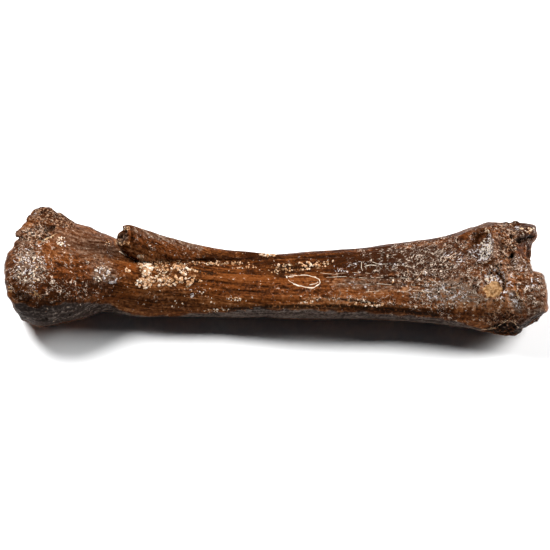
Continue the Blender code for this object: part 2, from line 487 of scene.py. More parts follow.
@dataclass(frozen=True)
class Stroke:
    """A stroke on the sheet along a path, thinning out at its ends."""

    path: Path
    width: float
    wander: float = 0.5
    broken: float = 0.0
    fade: float = 6.0

    def share(self, skin: Skin) -> Array:
        """How strongly the stroke is felt at each point of the skin.

        Args:
            skin: The bone's skin.

        Returns:
            A share from 0 to 1, with 1 along the middle of the stroke.
        """
        seed = int(self.path[0][0] * 5 + self.path[0][1] * 11)
        margin = 3.0 * self.width + 2.0 * self.wander
        low = np.min(self.path, axis=0) - margin
        high = np.max(self.path, axis=0) + margin
        near = np.all((skin.drawn > low) & (skin.drawn < high), axis=1) & (skin.seen > 0.0)
        base = skin.base[near]
        shaky = Grain(seed).layered(base, 5.0, 2) * self.wander
        at = skin.drawn[near] + np.stack([0.4 * shaky, shaky], axis=1)
        best = np.full(len(at), 1e3)
        run = np.zeros(len(at))
        start = 0.0
        for a, b in zip(self.path, self.path[1:]):
            a, b = np.array(a), np.array(b)
            length = float(np.linalg.norm(b - a))
            t = np.clip(((at - a) @ (b - a)) / length**2, 0.0, 1.0)
            away = np.linalg.norm(at - a - t[:, None] * (b - a), axis=1)
            run = np.where(away < best, start + t * length, run)
            best = np.minimum(best, away)
            start += length
        thin = np.clip(np.minimum(run, start - run) / self.fade + 0.25, 0.0, 1.0)
        found = np.exp(-((best / (self.width * thin)) ** 2)) * np.minimum(thin * 1.5, 1.0)
        if self.broken:
            gaps = Grain(seed + 1).layered(base, 3.5, 2)
            found *= step(self.broken - 0.6, self.broken, gaps + 0.35)
        share = np.zeros(len(skin.points))
        share[near] = found
        return share * skin.seen


Area = Oval | Stroke | Ball
Layers = tuple[tuple[float, Area], ...]


def joined(areas: tuple[Area, ...], skin: Skin) -> Array:
    """The strongest of several areas' shares at each point.

    Args:
        areas: The areas.
        skin: The bone's skin.

    Returns:
        A share from 0 to 1 for each point.
    """
    total = np.zeros(len(skin.points))
    for area in areas:
        total = np.maximum(total, area.share(skin))
    return total


@dataclass(frozen=True)
class Nudge:
    """A gentle shift of the skin in the plane of the sheet, around a place on its outline."""

    at: Place
    shift: Place
    reach: float


@dataclass(frozen=True)
class Stain:
    """A mark, and the strengths and areas that it is laid on with."""

    mark: Mark
    layers: Layers


@dataclass
class BonePart:
    """A part of the bone: the shifts of its outline, its carvings and its stains.

    A carving is a height in millimetres, or a depth if it is negative, and its area.
    """

    outline: tuple[Nudge, ...] = ()
    spongy: tuple[Area, ...] = ()
    carvings: Layers = ()
    stains: tuple[Stain, ...] = ()

    def carve(self, skin: Skin) -> None:
        """Carves the part.

        Args:
            skin: The bone's skin.
        """
        height = np.zeros(len(skin.points))
        for rise, area in self.carvings:
            height += rise * area.share(skin)
        skin.raise_by(height)

    def stain(self, skin: Skin) -> None:
        """Lays the part's stains on.

        Args:
            skin: The bone's skin.
        """
        for stain in self.stains:
            for strength, area in stain.layers:
                skin.mark(stain.mark, strength * area.share(skin))


@dataclass
class ElbowEnd(BonePart):
    """The wide end at the elbow, with its spongy outer knob."""

    spongy: tuple[Area, ...] = (
        Oval((48, 217), (19, 11), 8), Oval((67, 221), (9, 6), 28), Oval((36, 233), (15, 9), -25),
        Ball((-150, 26, 20), (18, 14, 16)),
    )
    outline: tuple[Nudge, ...] = (
        Nudge((56, 210), (-0.5, 2), 3), Nudge((75, 221.5), (-0.4, 1.4), 5),
        Nudge((89, 226.5), (0, -1), 5), Nudge((23, 224), (-1, -1.2), 3),
        Nudge((19, 230), (-1.4, -0.6), 2.5), Nudge((14, 238), (4, -0.3), 3),
        Nudge((10.5, 246), (2.2, 0.8), 5), Nudge((3.5, 275), (1, 0), 6),
        Nudge((9, 296), (-2.2, 0.3), 6), Nudge((16, 317), (2.8, -1.8), 6),
        Nudge((24, 323), (1, -2.8), 7), Nudge((66, 324), (0, -1.4), 11),
    )
    carvings: Layers = (
        (1.8, Oval((15.5, 234), (3, 4.5), 0, 0.1)), (-1.2, Oval((32, 212), (3.5, 3), 0, 0.2)),
        (1.6, Oval((28, 217), (3, 4), 0, 0.2)), (-1.5, Oval((49, 228.5), (6.5, 2.4), -25, 0.2)),
        (-1.6, Stroke(((36, 239), (42, 238), (50, 234), (57, 230)), 1.3)),
        (0.8, Stroke(((36, 241.6), (43, 240.6), (51, 236.6), (57, 233)), 1.3)),
        (-1.6, Stroke(((36, 318.5), (48, 319)), 1.4, 0.2)),
        (-0.9, Oval((22, 240), (3.5, 5), 0, 0.2)), (-0.5, Oval((80, 250), (20, 3.5), 4, 0.2)),
        (0.5, Oval((29, 267), (12, 14))), (-0.4, Oval((60, 280), (22, 14))),
        (0.4, Oval((103, 273), (11, 8))), (-0.8, Oval((22, 297), (8, 4), 20)),
    )
    stains: tuple[Stain, ...] = (
        Stain(Mark.CHALK, (
            (0.68, Oval((29, 268), (9, 11))), (0.55, Oval((28, 268), (17, 24), 0, 0.5, 0.9)),
            (0.7, Oval((103, 274), (13, 9), 10, 0.5, 0.8)),
            (0.6, Oval((113, 280), (6, 5), 10, 0.5, 0.8)),
            (0.45, Oval((61, 241), (4.5, 6), -20, 0.4)), (0.4, Oval((106, 243), (3, 5), -20, 0.4)),
            (0.6, Oval((33, 213), (3.5, 3), 0, 0.4)),
        )),
        Stain(Mark.ASH, (
            (1.8, Oval((29, 268), (14, 17), 0, 0.5)),
            (0.9, Oval((103, 274), (15, 11), 10, 0.5, 0.8)), (0.8, Oval((34, 213), (4.5, 3.5))),
            (0.75, Oval((85, 244), (34, 15), 14, 0.35, 0.8)),
            (0.7, Oval((108, 252), (12, 8), 0, 0.35, 0.8)),
            (0.5, Oval((24, 236), (9, 16), 0, 0.35, 0.8)),
        )),
        Stain(Mark.SPECKLE, (
            (0.5, Oval((48, 217), (24, 15), 10)), (0.9, Oval((36, 236), (18, 12), -25)),
            (0.85, Oval((29, 269), (24, 32), 0, 0.5, 0.9)),
            (0.75, Oval((70, 290), (34, 14), 0, 0.5, 0.8)),
            (0.46, Oval((60, 277), (58, 34), 0, 0.4, 0.6)),
        )),
        # Painted shade, partly darker bone: darkens the knob's top, which the lamps behind light
        # brightly, the lower edge and the neck's upper edge.
        Stain(Mark.DARK_TONE_AND_PAINTED_SHADE, (
            (1.1, Stroke(((66, 216), (90, 226), (117, 236)), 3.5, 0.6)),
            (0.9, Oval((52, 216), (24, 13), 20, 0.4)), (1, Oval((52, 222), (17, 5), -20, 0.4)),
            (0.6, Oval((94, 238), (40, 9), 16, 0.5)), (0.8, Oval((16, 236), (5, 10), 0, 0.4)),
            (0.75, Oval((66, 280), (28, 17), 0, 0.5)), (1, Oval((55, 316), (55, 14), 0, 0.4, 0.8)),
            (1.5, Oval((59, 219), (15, 8), 20, 0.5)), (2, Oval((16.5, 232), (5, 5), 0, 0.4)),
        )),
        # Painted shade in the carved crease, pit and slot, and along the lower border.
        Stain(Mark.DARK_STAIN_AND_PAINTED_SHADE, (
            (0.6, Oval((66, 301), (34, 7), 0, 0.6, 0.8)), (0.6, Oval((22, 297), (11, 5), 15, 0.4)),
            (0.8, Oval((49, 228.5), (7, 2.6), -25, 0.2)),
            (1, Stroke(((36, 318.5), (48, 319)), 1.5, 0.2)),
        )),
        # Lighter: the pale patch, and a painted highlight along the lower edge.
        Stain(Mark.WEAR_AND_PAINTED_LIGHT, (
            (0.6, Oval((115, 297), (26, 8), -6, 0.5)), (0.9, Oval((103, 274), (16, 12), 10, 0.5)),
        )),
        Stain(Mark.RUST, (
            (0.8, Stroke(((40, 262), (60, 268), (92, 276)), 9, 0.6)),
            (0.95, Oval((70, 279), (30, 19), 0, 0.4, 0.8)),
            (0.6, Oval((44, 243), (15, 6), 0, 0.4, 0.8)),
            (0.6, Oval((78, 252), (16, 3.5), 4, 0.4, 0.8)),
            (1, Stroke(((92, 294), (104, 299), (120, 297), (140, 292)), 3.2)),
            (1, Oval((126, 268), (9, 6), 0, 0.4, 0.8)),
        )),
        Stain(Mark.OCHRE, (
            (0.75, Stroke(((32, 290), (36, 294), (41, 298)), 2.2, 0.8, 0.2)),
            (0.5, Oval((10, 289), (2, 3), 0, 0.9, 0.5, 2)),
        )),
        Stain(Mark.CREAM, (
            (1.2, Stroke(((37, 241.3), (43, 240.4), (51, 236.4), (57, 232.8)), 1.2, 0.5, 0.2)),
        )),
    )


@dataclass
class UlnaStump(BonePart):
    """The stump of the ulna: a leaning spike with a broken tip, fused to the shaft behind it."""

    outline: tuple[Nudge, ...] = (
        Nudge((117.5, 228), (4.6, 0.6), 4.5), Nudge((123, 224), (0.8, 0.2), 2),
        Nudge((116, 241), (-1, 1.6), 3),
    )
    tip: Oval = Oval((122.5, 236), (5.5, 10), 22, 0.2)
    splinter: float = 3.0
    splinter_level: float = 0.55
    splinter_rise: float = 2.2
    splinter_gap: float = 1.0
    carvings: Layers = (
        (0.35, Stroke(((127, 225), (150, 231.5), (180, 239.5), (205, 246)), 1.6)),
        (-0.5, Stroke(ULNA_SEAM, 0.9, 0.4, 0.1)),
        (0.7, Stroke(((117, 241), (122, 244), (130, 243)), 1.6)),
        (-0.9, Stroke(((130, 229), (131.5, 237), (129, 243)), 1.3, 0.6)),
        (-2.6, Oval((122, 235.5), (4, 6.5), 22, 0.2)),
        (0.8, Stroke(((127.5, 226), (129, 233), (127, 240)), 1.2)),
    )
    stains: tuple[Stain, ...] = (
        # The stroke under the crest is a painted highlight on its lit facet; the oval is the tip's
        # grey.
        Stain(Mark.ASH, (
            (1.6, Stroke(((130, 228.5), (150, 234), (180, 242), (204, 248.5)), 3, 0.8)),
            (1, Oval((121.5, 236), (6, 9), 12, 0.2)),
        )),
        # The first stroke adds to the painted highlight under the crest.
        Stain(Mark.CHALK, (
            (0.38, Stroke(((131, 230.5), (150, 235.5), (178, 243), (202, 249)), 1.9, 0.9, 0.2)),
            (0.8, Stroke(((116, 239), (118, 243), (124, 244.5), (130, 243)), 1.2, 0.5, 0.2)),
        )),
        Stain(Mark.DARK_TONE_AND_PAINTED_SHADE, (
            (0.8, Stroke(((127, 224.5), (150, 230), (180, 238.5), (206, 246)), 1.2)),
        )),
        Stain(Mark.CREAM, (
            (0.9, Stroke(((124, 225), (128, 227), (129, 231)), 1.6)),
            (0.5, Oval((118, 241), (3, 3))), (0.9, Oval((267, 254), (9, 1.6), 0, 0.4)),
        )),
        # Painted light: lightens the broken tip and the shaded gap under the ulna's overhang.
        Stain(Mark.WEAR_AND_PAINTED_LIGHT, (
            (0.8, Oval((121.5, 236), (8, 12), 12, 0.2)),
            (2.6, Stroke(((142, 257.5), (160, 259.5), (200, 260.5)), 1.8, 0.4)),
            (1.7, Oval((138, 253.5), (14, 5), 22)), (0.3, Oval((165, 246), (44, 8), 17, 0.4)),
        )),
        # Painted shade in the hollow of the broken tip and along the seam under the ulna's edge.
        Stain(Mark.DARK_STAIN_AND_PAINTED_SHADE, (
            (0.7, Oval((122.5, 235), (3.6, 6.5), 22, 0.5, 0.5, 2)),
            (0.75, Stroke(ULNA_SEAM, 0.8, 0.4, 0.1)),
        )),
        Stain(Mark.RUST, ((0.9, Oval((160, 245), (44, 9), 17, 0.4)),)),
        Stain(Mark.SPECKLE, ((0.48, Oval((168, 247), (46, 12), 17, 0.4, 0.7)),)),
    )

    def carve(self, skin: Skin) -> None:
        """Carves the stump and breaks its tip into splinters.

        Args:
            skin: The bone's skin.
        """
        super().carve(skin)
        near, second, own = Grain(61).cells(skin.base, self.splinter)
        gap = self.splinter_gap * step(0.2, 0.0, second - near)
        jag = (own - self.splinter_level) * self.splinter_rise - gap
        skin.raise_by(self.tip.share(skin) * jag)


@dataclass
class Shaft(BonePart):
    """The long shaft, with drying cracks, streaks and the field of crumbs."""

    crack_paths: tuple[Path, ...] = (
        ((196, 279), (216, 281.5), (250, 285), (292, 288)),
        ((208, 270.5), (232, 272), (262, 273.5)), ((222, 289), (262, 292), (300, 294)),
        ((322, 275.5), (352, 277), (402, 277.5), (430, 280)),
        ((342, 281.5), (372, 283.5), (410, 285)), ((350, 262.5), (376, 264), (404, 263)),
        ((318, 296.5), (330, 297.5), (346, 300), (380, 303.5)),
        ((300, 268), (318, 266.5), (338, 264.5)), ((170, 281), (186, 282), (201, 280.5)),
        ((200, 272), (210, 271), (221, 272)), ((400, 283), (430, 287), (456, 290)),
        ((226, 263.5), (250, 264), (276, 262)),
    )
    crack_width: float = 0.9
    crack_depth: float = 0.55
    crack_darkening: float = 0.8
    carvings: Layers = (
        (0.7, Oval((147, 265), (11, 11), 10, 0.35)), (0.25, Oval((176, 273), (26, 11), 8, 0.35)),
        (0.45, Stroke(CLEFT_LINE, 1, 0.2)),
        (-0.5, Stroke(((228, 299), (262, 301), (300, 302), (346, 300), (382, 305)), 1.5)),
    )
    stains: tuple[Stain, ...] = (
        Stain(Mark.CREAM, (
            (0.85, Oval((146.5, 264.5), (8.5, 6.5), 20, 0.9)),
            (0.6, Oval((147, 277), (9, 9), 0, 0.55)),
            (0.6, Oval((158, 274), (12, 10), 6, 0.7, 0.5, 2.4)),
            (0.34, Oval((176, 273), (22, 9.5), 10, 0.9, 0.5, 2.4)),
            (0.7, Stroke(((168, 262), (200, 263), (232, 262)), 1.7, 0.6, 0.25)),
            (0.45, Oval((288, 268), (20, 5), -6, 0.9, 0.5, 2)),
            (0.6, Oval((323, 263), (9, 3), -6, 0.8, 0.5, 2)), (1, Stroke(CLEFT_LINE, 0.9, 0.2)),
        )),
        Stain(Mark.DARK_STAIN_AND_PAINTED_SHADE, (
            (0.5, Oval((178, 272), (22, 9), 10, 0.9, 0.5, 2)),
            (0.95, Oval((207, 272), (9, 2.2), 2, 0.4)),
            (0.9, Oval((190, 281.5), (11, 1.6), -4, 0.4)),
            (0.7, Oval((290, 270), (20, 5.5), -6, 0.6)), (1, Oval((155, 264.5), (2, 1.8), 0, 0.4)),
            (0.3, Oval((160, 298), (38, 10), 0, 0.4, 0.9)), (0.95, Stroke(EDGE_SHADE, 3, 0.6)),
        )),
        Stain(Mark.CHALK, (
            (1.5, Stroke(((141, 257), (146, 263), (152, 270)), 3, 1)),
            (0.45, Oval((346, 268), (16, 7), 0, 0.6, 0.9)),
            (0.48, Oval((372, 264), (34, 3), 1, 0.5, 0.9)),
            (0.6, Oval((355, 284), (18, 4), 3, 0.6, 0.9)),
            (0.7, Oval((232, 299), (9, 2.5), 3, 0.6)), (0.5, Oval((196, 292), (12, 5), 10, 0.7)),
        )),
        # Painted light on the lower face, which the lamps behind leave dark, and a painted
        # highlight along the lower streak.
        Stain(Mark.WEAR_AND_PAINTED_LIGHT, (
            (0.9, Oval((270, 301), (110, 7), 1, 0.5)), (0.8, Oval((385, 290), (50, 12), 4, 0.5)),
            (0.6, Oval((240, 300), (110, 9), 1, 0.5)), (2.2, Stroke(LOWER_STREAK, 2.8, 0.8)),
        )),
        # Painted shade on the upper face, which the lamps behind light brightly.
        Stain(Mark.DARK_TONE_AND_PAINTED_SHADE, (
            (2.5, Oval((392, 260), (56, 16), -4, 0.5)), (1.1, Oval((275, 262), (90, 13), 0, 0.5)),
        )),
        Stain(Mark.RUST, (
            (0.7, Oval((255, 285), (70, 16), 3, 0.4, 0.9)),
            (0.7, Oval((375, 297), (50, 6), 4, 0.5, 0.8)),
        )),
        Stain(Mark.SPECKLE, (
            (0.36, Oval((378, 272), (58, 18), 0, 0.4, 0.9)),
            (0.36, Oval((290, 292), (55, 9), 0, 0.4, 0.9)),
            (0.62, Oval((396, 262), (44, 20), -6, 0.6, 0.9)), (0.9, Stroke(LOWER_STREAK, 3, 0.8)),
            (0.5, Oval((370, 298), (60, 8), 3, 0.5, 0.9)),
            (0.35, Oval((170, 295), (40, 14), 0, 0.5, 0.9)),
        )),
        Stain(Mark.ASH, ((0.9, Oval((364, 283), (30, 7), 3, 0.5, 0.9)),)),
    )

    def carve(self, skin: Skin) -> None:
        """Carves the shaft and opens its cracks.

        Args:
            skin: The bone's skin.
        """
        super().carve(skin)
        strokes = tuple(Stroke(path, self.crack_width, 0.8, 0.1) for path in self.crack_paths)
        cracks = joined(strokes, skin)
        skin.raise_by(-self.crack_depth * cracks)
        skin.mark(Mark.DARK_STAIN_AND_PAINTED_SHADE, self.crack_darkening * cracks)


@dataclass
class WristEnd(BonePart):
    """The end at the wrist, with its hollows, abraded lobes and the broken inner corner."""

    spongy: tuple[Area, ...] = (
        Oval((506, 240), (11, 20), 0, 0.4), Oval((500, 318), (18, 10), 0, 0.4),
        Oval((503, 272), (8, 16), 0, 0.4), Ball((163, 0, 10), (8, 30, 14)),
    )
    polished: tuple[Area, ...] = (
        Oval((523, 256), (7.5, 15), 0, 0.2, 0.2), Stroke(GROOVE, 4, 0.4, 0.1),
        Stroke(((545, 313), (534, 318), (525, 324), (518, 331)), 4, 0.3, 0.1),
        Oval((470, 229), (20, 5), -18),
    )
    broken: Oval = Oval((503, 329), (18, 7.5), -6, 0.15, 0.25)
    fragment: float = 7.0
    fragment_depth: float = 0.4
    fragment_jag: float = 1.5
    fragment_gap: float = 0.8
    outline: tuple[Nudge, ...] = (
        Nudge((500, 220.5), (0.5, 1.8), 6), Nudge((509, 220.8), (0.3, 1.2), 2.5),
        Nudge((534, 226), (2.6, -1.4), 5), Nudge((536, 235), (1, 0), 3),
        Nudge((535, 244), (-3.2, -0.6), 5), Nudge((533, 249), (-1.8, 0), 3.5),
        Nudge((528.5, 261), (1.3, 0), 3.5), Nudge((532.5, 257), (-1.6, -0.5), 7),
        Nudge((533.6, 269), (-1, 1.2), 3), Nudge((541, 276), (2.4, -1.4), 5),
        Nudge((545.5, 285), (1, 0), 6), Nudge((545, 309), (2, 0.8), 6),
        Nudge((541, 317), (0.4, -1.4), 5), Nudge((531, 326), (-1.4, -0.2), 4),
        Nudge((525.5, 330), (-3.6, -1.6), 3.5), Nudge((513, 335), (0.6, 1), 4),
    )
    carvings: Layers = (
        (-2.2, Oval((481, 246), (11, 14), 4, 0.12, 0.35)),
        (-0.5, Oval((474, 241), (7, 6), -30, 0.15)),
        (1.1, Stroke(((453, 241), (468, 232.5), (480, 229.5), (490, 229)), 2.4)),
        (2, Stroke(((492.5, 230), (494.5, 244), (493.5, 262)), 2, 0.3)),
        (-1.5, Stroke(((500, 233), (502, 246), (500, 262)), 2.8, 0.4)),
        (-1.5, Oval((492, 283), (9.5, 12), 0, 0.12, 0.4)),
        (-1.6, Stroke(((495, 271), (501, 275), (504, 283), (503, 292)), 1.7, 0.3)),
        (1.2, Stroke(((498, 267), (507, 273), (509, 286)), 2, 0.3)),
        (-3, Oval((519, 240), (3.6, 2.4), 0, 0.1)),
        (-2.6, Oval((511.5, 255.5), (2.2, 2.2), 0, 0.1)),
        (-2.2, Oval((510.5, 236), (2, 1.8), 0, 0.1)),
        (-3, Stroke(((515, 239.5), (526, 239), (535, 236.5)), 2, 0.3)),
        (1.1, Stroke(((516, 226), (524, 233), (534, 231)), 3, 0.4)),
        (-1.8, Oval((523, 256), (6.5, 14), 0, 0.15, 0.4)),
        (0.8, Stroke(((514.5, 243), (515, 256), (513, 270)), 1.6, 0.4)),
        (-0.6, Stroke(GROOVE, 3.2)), (0.7, Stroke(((515, 282), (520, 297), (528, 313)), 1.6, 0.4)),
        (0.8, Stroke(((503, 292), (507, 303), (513, 314)), 1.4, 0.4)),
        (0.8, Stroke(((545, 308.5), (534, 314), (525, 319), (518, 326)), 1.2, 0.4)),
        (-0.9, Stroke(((545, 316), (534, 321), (525, 327)), 2.4, 0.4)),
        (0.8, Stroke(CORNER_RIM, 1.2, 0.4)), (0.4, Oval((531, 285), (10, 9))),
        (1, Oval((515.5, 221), (3, 2), 0, 0.1)),
    )
    stains: tuple[Stain, ...] = (
        Stain(Mark.CHALK, (
            (1.15, Oval((484, 249), (8.5, 11), 10, 0.5, 0.6)),
            (1.1, Oval((487.5, 239), (3.4, 7), 10, 0.4)),
            (0.85, Oval((477, 249), (10, 9), -25, 0.5, 0.7)), (1, Oval((490, 277), (7.5, 5))),
            (0.6, Oval((532, 283), (9, 6), 20, 0.5)), (1, Oval((516.5, 228), (2.5, 2.5))),
            (0.7, Oval((457, 258), (12, 6), 20, 0.6, 0.9)),
            (0.9, Oval((447, 253), (6, 3), -30, 0.5, 0.9)),
            (0.9, Oval((457, 300), (6, 5), 50, 0.5, 0.9)),
            (0.6, Oval((428, 275), (6, 5), 50, 0.5, 0.9)),
            (1.15, Stroke(((509, 290), (514, 301), (521, 314)), 3.2, 0.8)),
            (0.5, Oval((519, 263), (11, 9), 30, 0.5, 0.9)),
            (0.7, Oval((503, 280), (9, 20), 0, 0.9, 0.9)),
            (0.68, Oval((446, 294), (34, 11), 6, 0.8, 0.9)),
            (0.85, Stroke(FOSSA_RIB, 1.3, 0.5, 0.2)),
        )),
        # Painted shade in the fossa, the holes, the undercut of the top lobe, the grooves and under
        # the broken corner.
        Stain(Mark.DARK_STAIN_AND_PAINTED_SHADE, (
            (0.55, Oval((480, 248), (12, 13), 12, 0.5)), (1, Oval((519, 240), (4.5, 3))),
            (1, Oval((511.5, 255.5), (2.6, 2.4))), (0.9, Oval((510.5, 236), (2.2, 2))),
            (1.7, Stroke(((514, 239), (520, 239.5), (527, 238.5), (535, 236)), 2.8, 0.3)),
            (0.7, Stroke(((499, 234), (501, 246), (499, 260)), 2.2, 0.6)),
            (0.9, Stroke(((496, 272), (502, 276), (504, 284), (503, 291)), 1.8)),
            (0.8, Stroke(((463, 253), (464, 243), (470, 236), (480, 231.5)), 1.3)),
            (1, Oval((503, 330), (19, 7.5), -6, 0.15, 0.25)),
        )),
        Stain(Mark.CREAM, (
            (0.75, Oval((529, 229), (2.4, 3), 0, 0.5)), (0.8, Oval((521, 229), (2, 1.8), 0, 0.5)),
            (0.8, Oval((487.5, 231), (2.5, 2), 0, 0.5)), (0.62, Stroke(CORNER_RIM, 0.8, 0.5, 0.2)),
            (0.7, Stroke(((515, 290), (520, 300), (524, 309)), 0.8, 0.4, 0.2)),
            (0.55, Stroke(((545, 307), (534, 313), (525, 318), (517, 325)), 0.8, 0.5, 0.1)),
        )),
        Stain(Mark.OCHRE, (
            (1, Oval((492.5, 289), (9, 8.5), -15, 0.3, 0.2, 3)),
            (0.5, Oval((517, 292), (3, 4), 0, 0.5)),
        )),
        Stain(Mark.ASH, (
            (2.4, Stroke(((508, 290), (514, 301), (521, 313)), 4.2, 0.4)),
            (0.7, Oval((474, 227), (18, 4.5), -18, 0.2)),
            (1.3, Oval((520, 264), (11, 9), 30, 0.4, 0.8)),
            (0.4, Oval((442, 272), (46, 22), 4, 0.5, 0.9)),
            (1.4, Oval((450, 292), (36, 12), 6, 0.5, 0.9)), (1.2, Stroke(FOSSA_RIB, 2.2, 0.5, 0.2)),
            (0.7, Oval((503, 268), (9, 9), 0, 0.5, 0.9)),
            (1.5, Oval((534, 295), (11, 20), 0, 0.4, 0.9)),
        )),
        # Partly painted light: lightens the lower faces, which the lamps behind leave dark; the
        # strokes follow the polished groove and rib.
        Stain(Mark.WEAR_AND_PAINTED_LIGHT, (
            (1.6, Stroke(((507, 289), (514, 301), (522, 313)), 3.4, 0.4)),
            (0.5, Oval((512, 272), (18, 12), 0, 0.5)), (2.5, Oval((455, 294), (42, 14), 8, 0.5)),
            (0.3, Oval((536, 296), (11, 18), 0, 0.5)), (1.9, Oval((502, 303), (20, 12), 0, 0.5)),
            (1.5, Oval((503, 282), (10, 22), 0, 0.5)), (1, Stroke(FOSSA_RIB, 2.2, 0.5, 0.2)),
        )),
        # Painted shade: darkens the top lobe and the upper margin, which the lamps light brightly,
        # and the inner corner's facet.
        Stain(Mark.DARK_TONE_AND_PAINTED_SHADE, (
            (0.4, Oval((500, 288), (6, 12), 0, 0.5)), (0.6, Oval((474, 227), (20, 6), -18, 0.4)),
            (3.2, Oval((524, 229), (15, 10), 0, 0.4)), (1.6, Oval((521, 254), (13, 20), 0, 0.5)),
            (0.45, Oval((445, 243), (60, 9), -12, 0.5)),
            (2, Stroke(((330, 250), (400, 242), (453, 233), (488, 223), (512, 222)), 5.5, 0.8)),
            (0.5, Oval((478, 238), (10, 5), -25, 0.4)),
            (1.8, Stroke(((548, 315), (535, 321), (526, 327), (518, 335)), 4.6, 0.2, 0.1)),
        )),
        Stain(Mark.RUST, (
            (0.7, Oval((523, 256), (8, 15), 0, 0.4, 0.8)),
            (0.6, Oval((525, 312), (6, 4), -30, 0.4, 0.8)),
        )),
        # The grey facet at the inner corner: painted shade and floor reflection.
        Stain(Mark.PAINTED_UNDERSIDE_SHADE, (
            (1.3, Stroke(((548, 313), (535, 319), (526, 325), (518, 333)), 5.6, 0.2, 0.1)),
        )),
        Stain(Mark.SPECKLE, (
            (0.95, Oval((450, 272), (70, 44), 0, 0.5, 0.9)),
            (0.8, Oval((510, 275), (45, 60), 0, 0.4, 0.9)),
        )),
    )

    def carve(self, skin: Skin) -> None:
        """Carves the end and breaks its inner corner.

        Args:
            skin: The bone's skin.
        """
        super().carve(skin)
        near, second, own = Grain(71).cells(skin.base, self.fragment)
        gap = self.fragment_gap * step(0.12, 0.0, second - near)
        height = -self.fragment_depth - self.fragment_jag * own - gap
        skin.raise_by(self.broken.share(skin) * height)


class Recipe:
    """Builds the nodes of one material."""

    def __init__(self, name: str) -> None:
        """Starts a material.

        Args:
            name: The material's name.
        """
        self.material = bpy.data.materials.new(name)
        self.material.use_nodes = True
        self.nodes = self.material.node_tree.nodes
        self.links = self.material.node_tree.links
        self.shader = self.nodes["Principled BSDF"]
        self.colour: Value = (0.0, 0.0, 0.0)
        metres = self.nodes.new("ShaderNodeTexCoord").outputs["Object"]
        self.place = self.stretched(metres, (1.0 / MM, 1.0 / MM, 1.0 / MM))

    def feed(self, value: Value, socket: Socket) -> None:
        """Links a socket, or sets its value.

        Args:
            value: What to give it.
            socket: The input.
        """
        if isinstance(value, bpy.types.NodeSocket):
            self.links.new(value, socket)
        elif isinstance(value, tuple) and socket.type == "RGBA":
            socket.default_value = (*value, 1.0)
        else:
            socket.default_value = value

    def node(self, kind: str, output: str | int, inputs: dict, **settings: str) -> Socket:
        """Adds a node.

        Args:
            kind: The node's kind.
            output: The output to hand back.
            inputs: What its inputs are given.
            settings: Its options.

        Returns:
            The output.
        """
        node = self.nodes.new("ShaderNode" + kind)
        for name, value in settings.items():
            setattr(node, name, value)
        for name, value in inputs.items():
            self.feed(value, node.inputs[name])
        return node.outputs[output]

    def stretched(self, place: Socket, by: Spot) -> Socket:
        """Scales places along the three axes."""
        return self.node("VectorMath", 0, {0: place, 1: by}, operation="MULTIPLY")

    def noise(
        self, place: Socket, size: float, detail: float, rough: float, twist: float = 0.0
    ) -> Socket:
        """Smooth noise around 0.5, with lumps of a size, finer layers and a distortion."""
        look = {"Scale": 1.0 / size, "Detail": detail, "Roughness": rough, "Distortion": twist}
        return self.node("TexNoise", "Fac", {"Vector": place} | look)

    def cells(self, place: Socket, size: float, feature: str = "F1") -> Socket:
        """The distance to the nearest of scattered middles, as a share of their spacing."""
        inputs = {"Vector": place, "Scale": 1.0 / size}
        return self.node("TexVoronoi", "Distance", inputs, feature=feature)

    def math(self, operation: str, *values: Value) -> Socket:
        """One step of arithmetic."""
        return self.node("Math", 0, dict(enumerate(values)), operation=operation)

    def times(self, a: Value, b: Value) -> Socket:
        """Multiplies two values."""
        return self.math("MULTIPLY", a, b)

    def plus(self, a: Value, b: Value) -> Socket:
        """Adds two values."""
        return self.math("ADD", a, b)

    def less(self, a: Value, b: Value) -> Socket:
        """Takes the second value from the first."""
        return self.math("SUBTRACT", a, b)

    def most(self, a: Value, b: Value) -> Socket:
        """The larger of two values."""
        return self.math("MAXIMUM", a, b)

    def more(self, base: Value, by: float, value: Value) -> Socket:
        """Adds a value to a base, scaled by a number."""
        return self.math("MULTIPLY_ADD", value, by, base)

    def near(self, value: Value, middle: float, far: float, close: float) -> Socket:
        """A line where a value is near a middle: 0 from far off, 1 from close by."""
        return self.rise(self.math("ABSOLUTE", self.less(value, middle)), far, close)

    def rise(self, value: Socket, low: float, high: float) -> Socket:
        """A smooth rise from 0 at low to 1 at high."""
        inputs = {"Value": value, "From Min": low, "From Max": high}
        return self.node("MapRange", "Result", inputs, interpolation_type="SMOOTHSTEP")

    def blend(self, share: Value, a: Value, b: Value) -> Socket:
        """Mixes two colours, where share is how much of the second there is."""
        return self.node("Mix", 2, {"Factor": share, 6: a, 7: b}, data_type="RGBA")

    def ramp(self, value: Socket, stops: tuple[tuple[float, Colour], ...]) -> Socket:
        """Runs through a row of colours.

        Args:
            value: Where on the row.
            stops: The colours and the values that they stand at.

        Returns:
            The colour.
        """
        node = self.nodes.new("ShaderNodeValToRGB")
        row = node.color_ramp.elements
        for _ in stops[2:]:
            row.new(0.5)
        for element, (at, colour) in zip(row, stops):
            element.position = at
            element.color = (*colour, 1.0)
        self.feed(value, node.inputs["Fac"])
        return node.outputs["Color"]

    def coat(self, share: Socket, over: Value) -> None:
        """Lays a colour over the material's colour so far."""
        self.colour = self.blend(share, self.colour, over)

    def kept(self, name: str, output: str = "Fac") -> Socket:
        """Reads what is kept on the mesh under a name."""
        return self.node("Attribute", output, {}, attribute_name=name)

    def mark(self, mark: Mark) -> Socket:
        """Reads one of the skin's marks."""
        return self.kept(mark.value)

    def bump(self, height: Socket, distance: float) -> None:
        """Roughens the surface by heights from 0 to 1, where 1 is a distance in millimetres."""
        inputs = {"Height": height, "Distance": distance * MM, "Strength": 1.0}
        self.feed(self.node("Bump", "Normal", inputs), self.shader.inputs["Normal"])


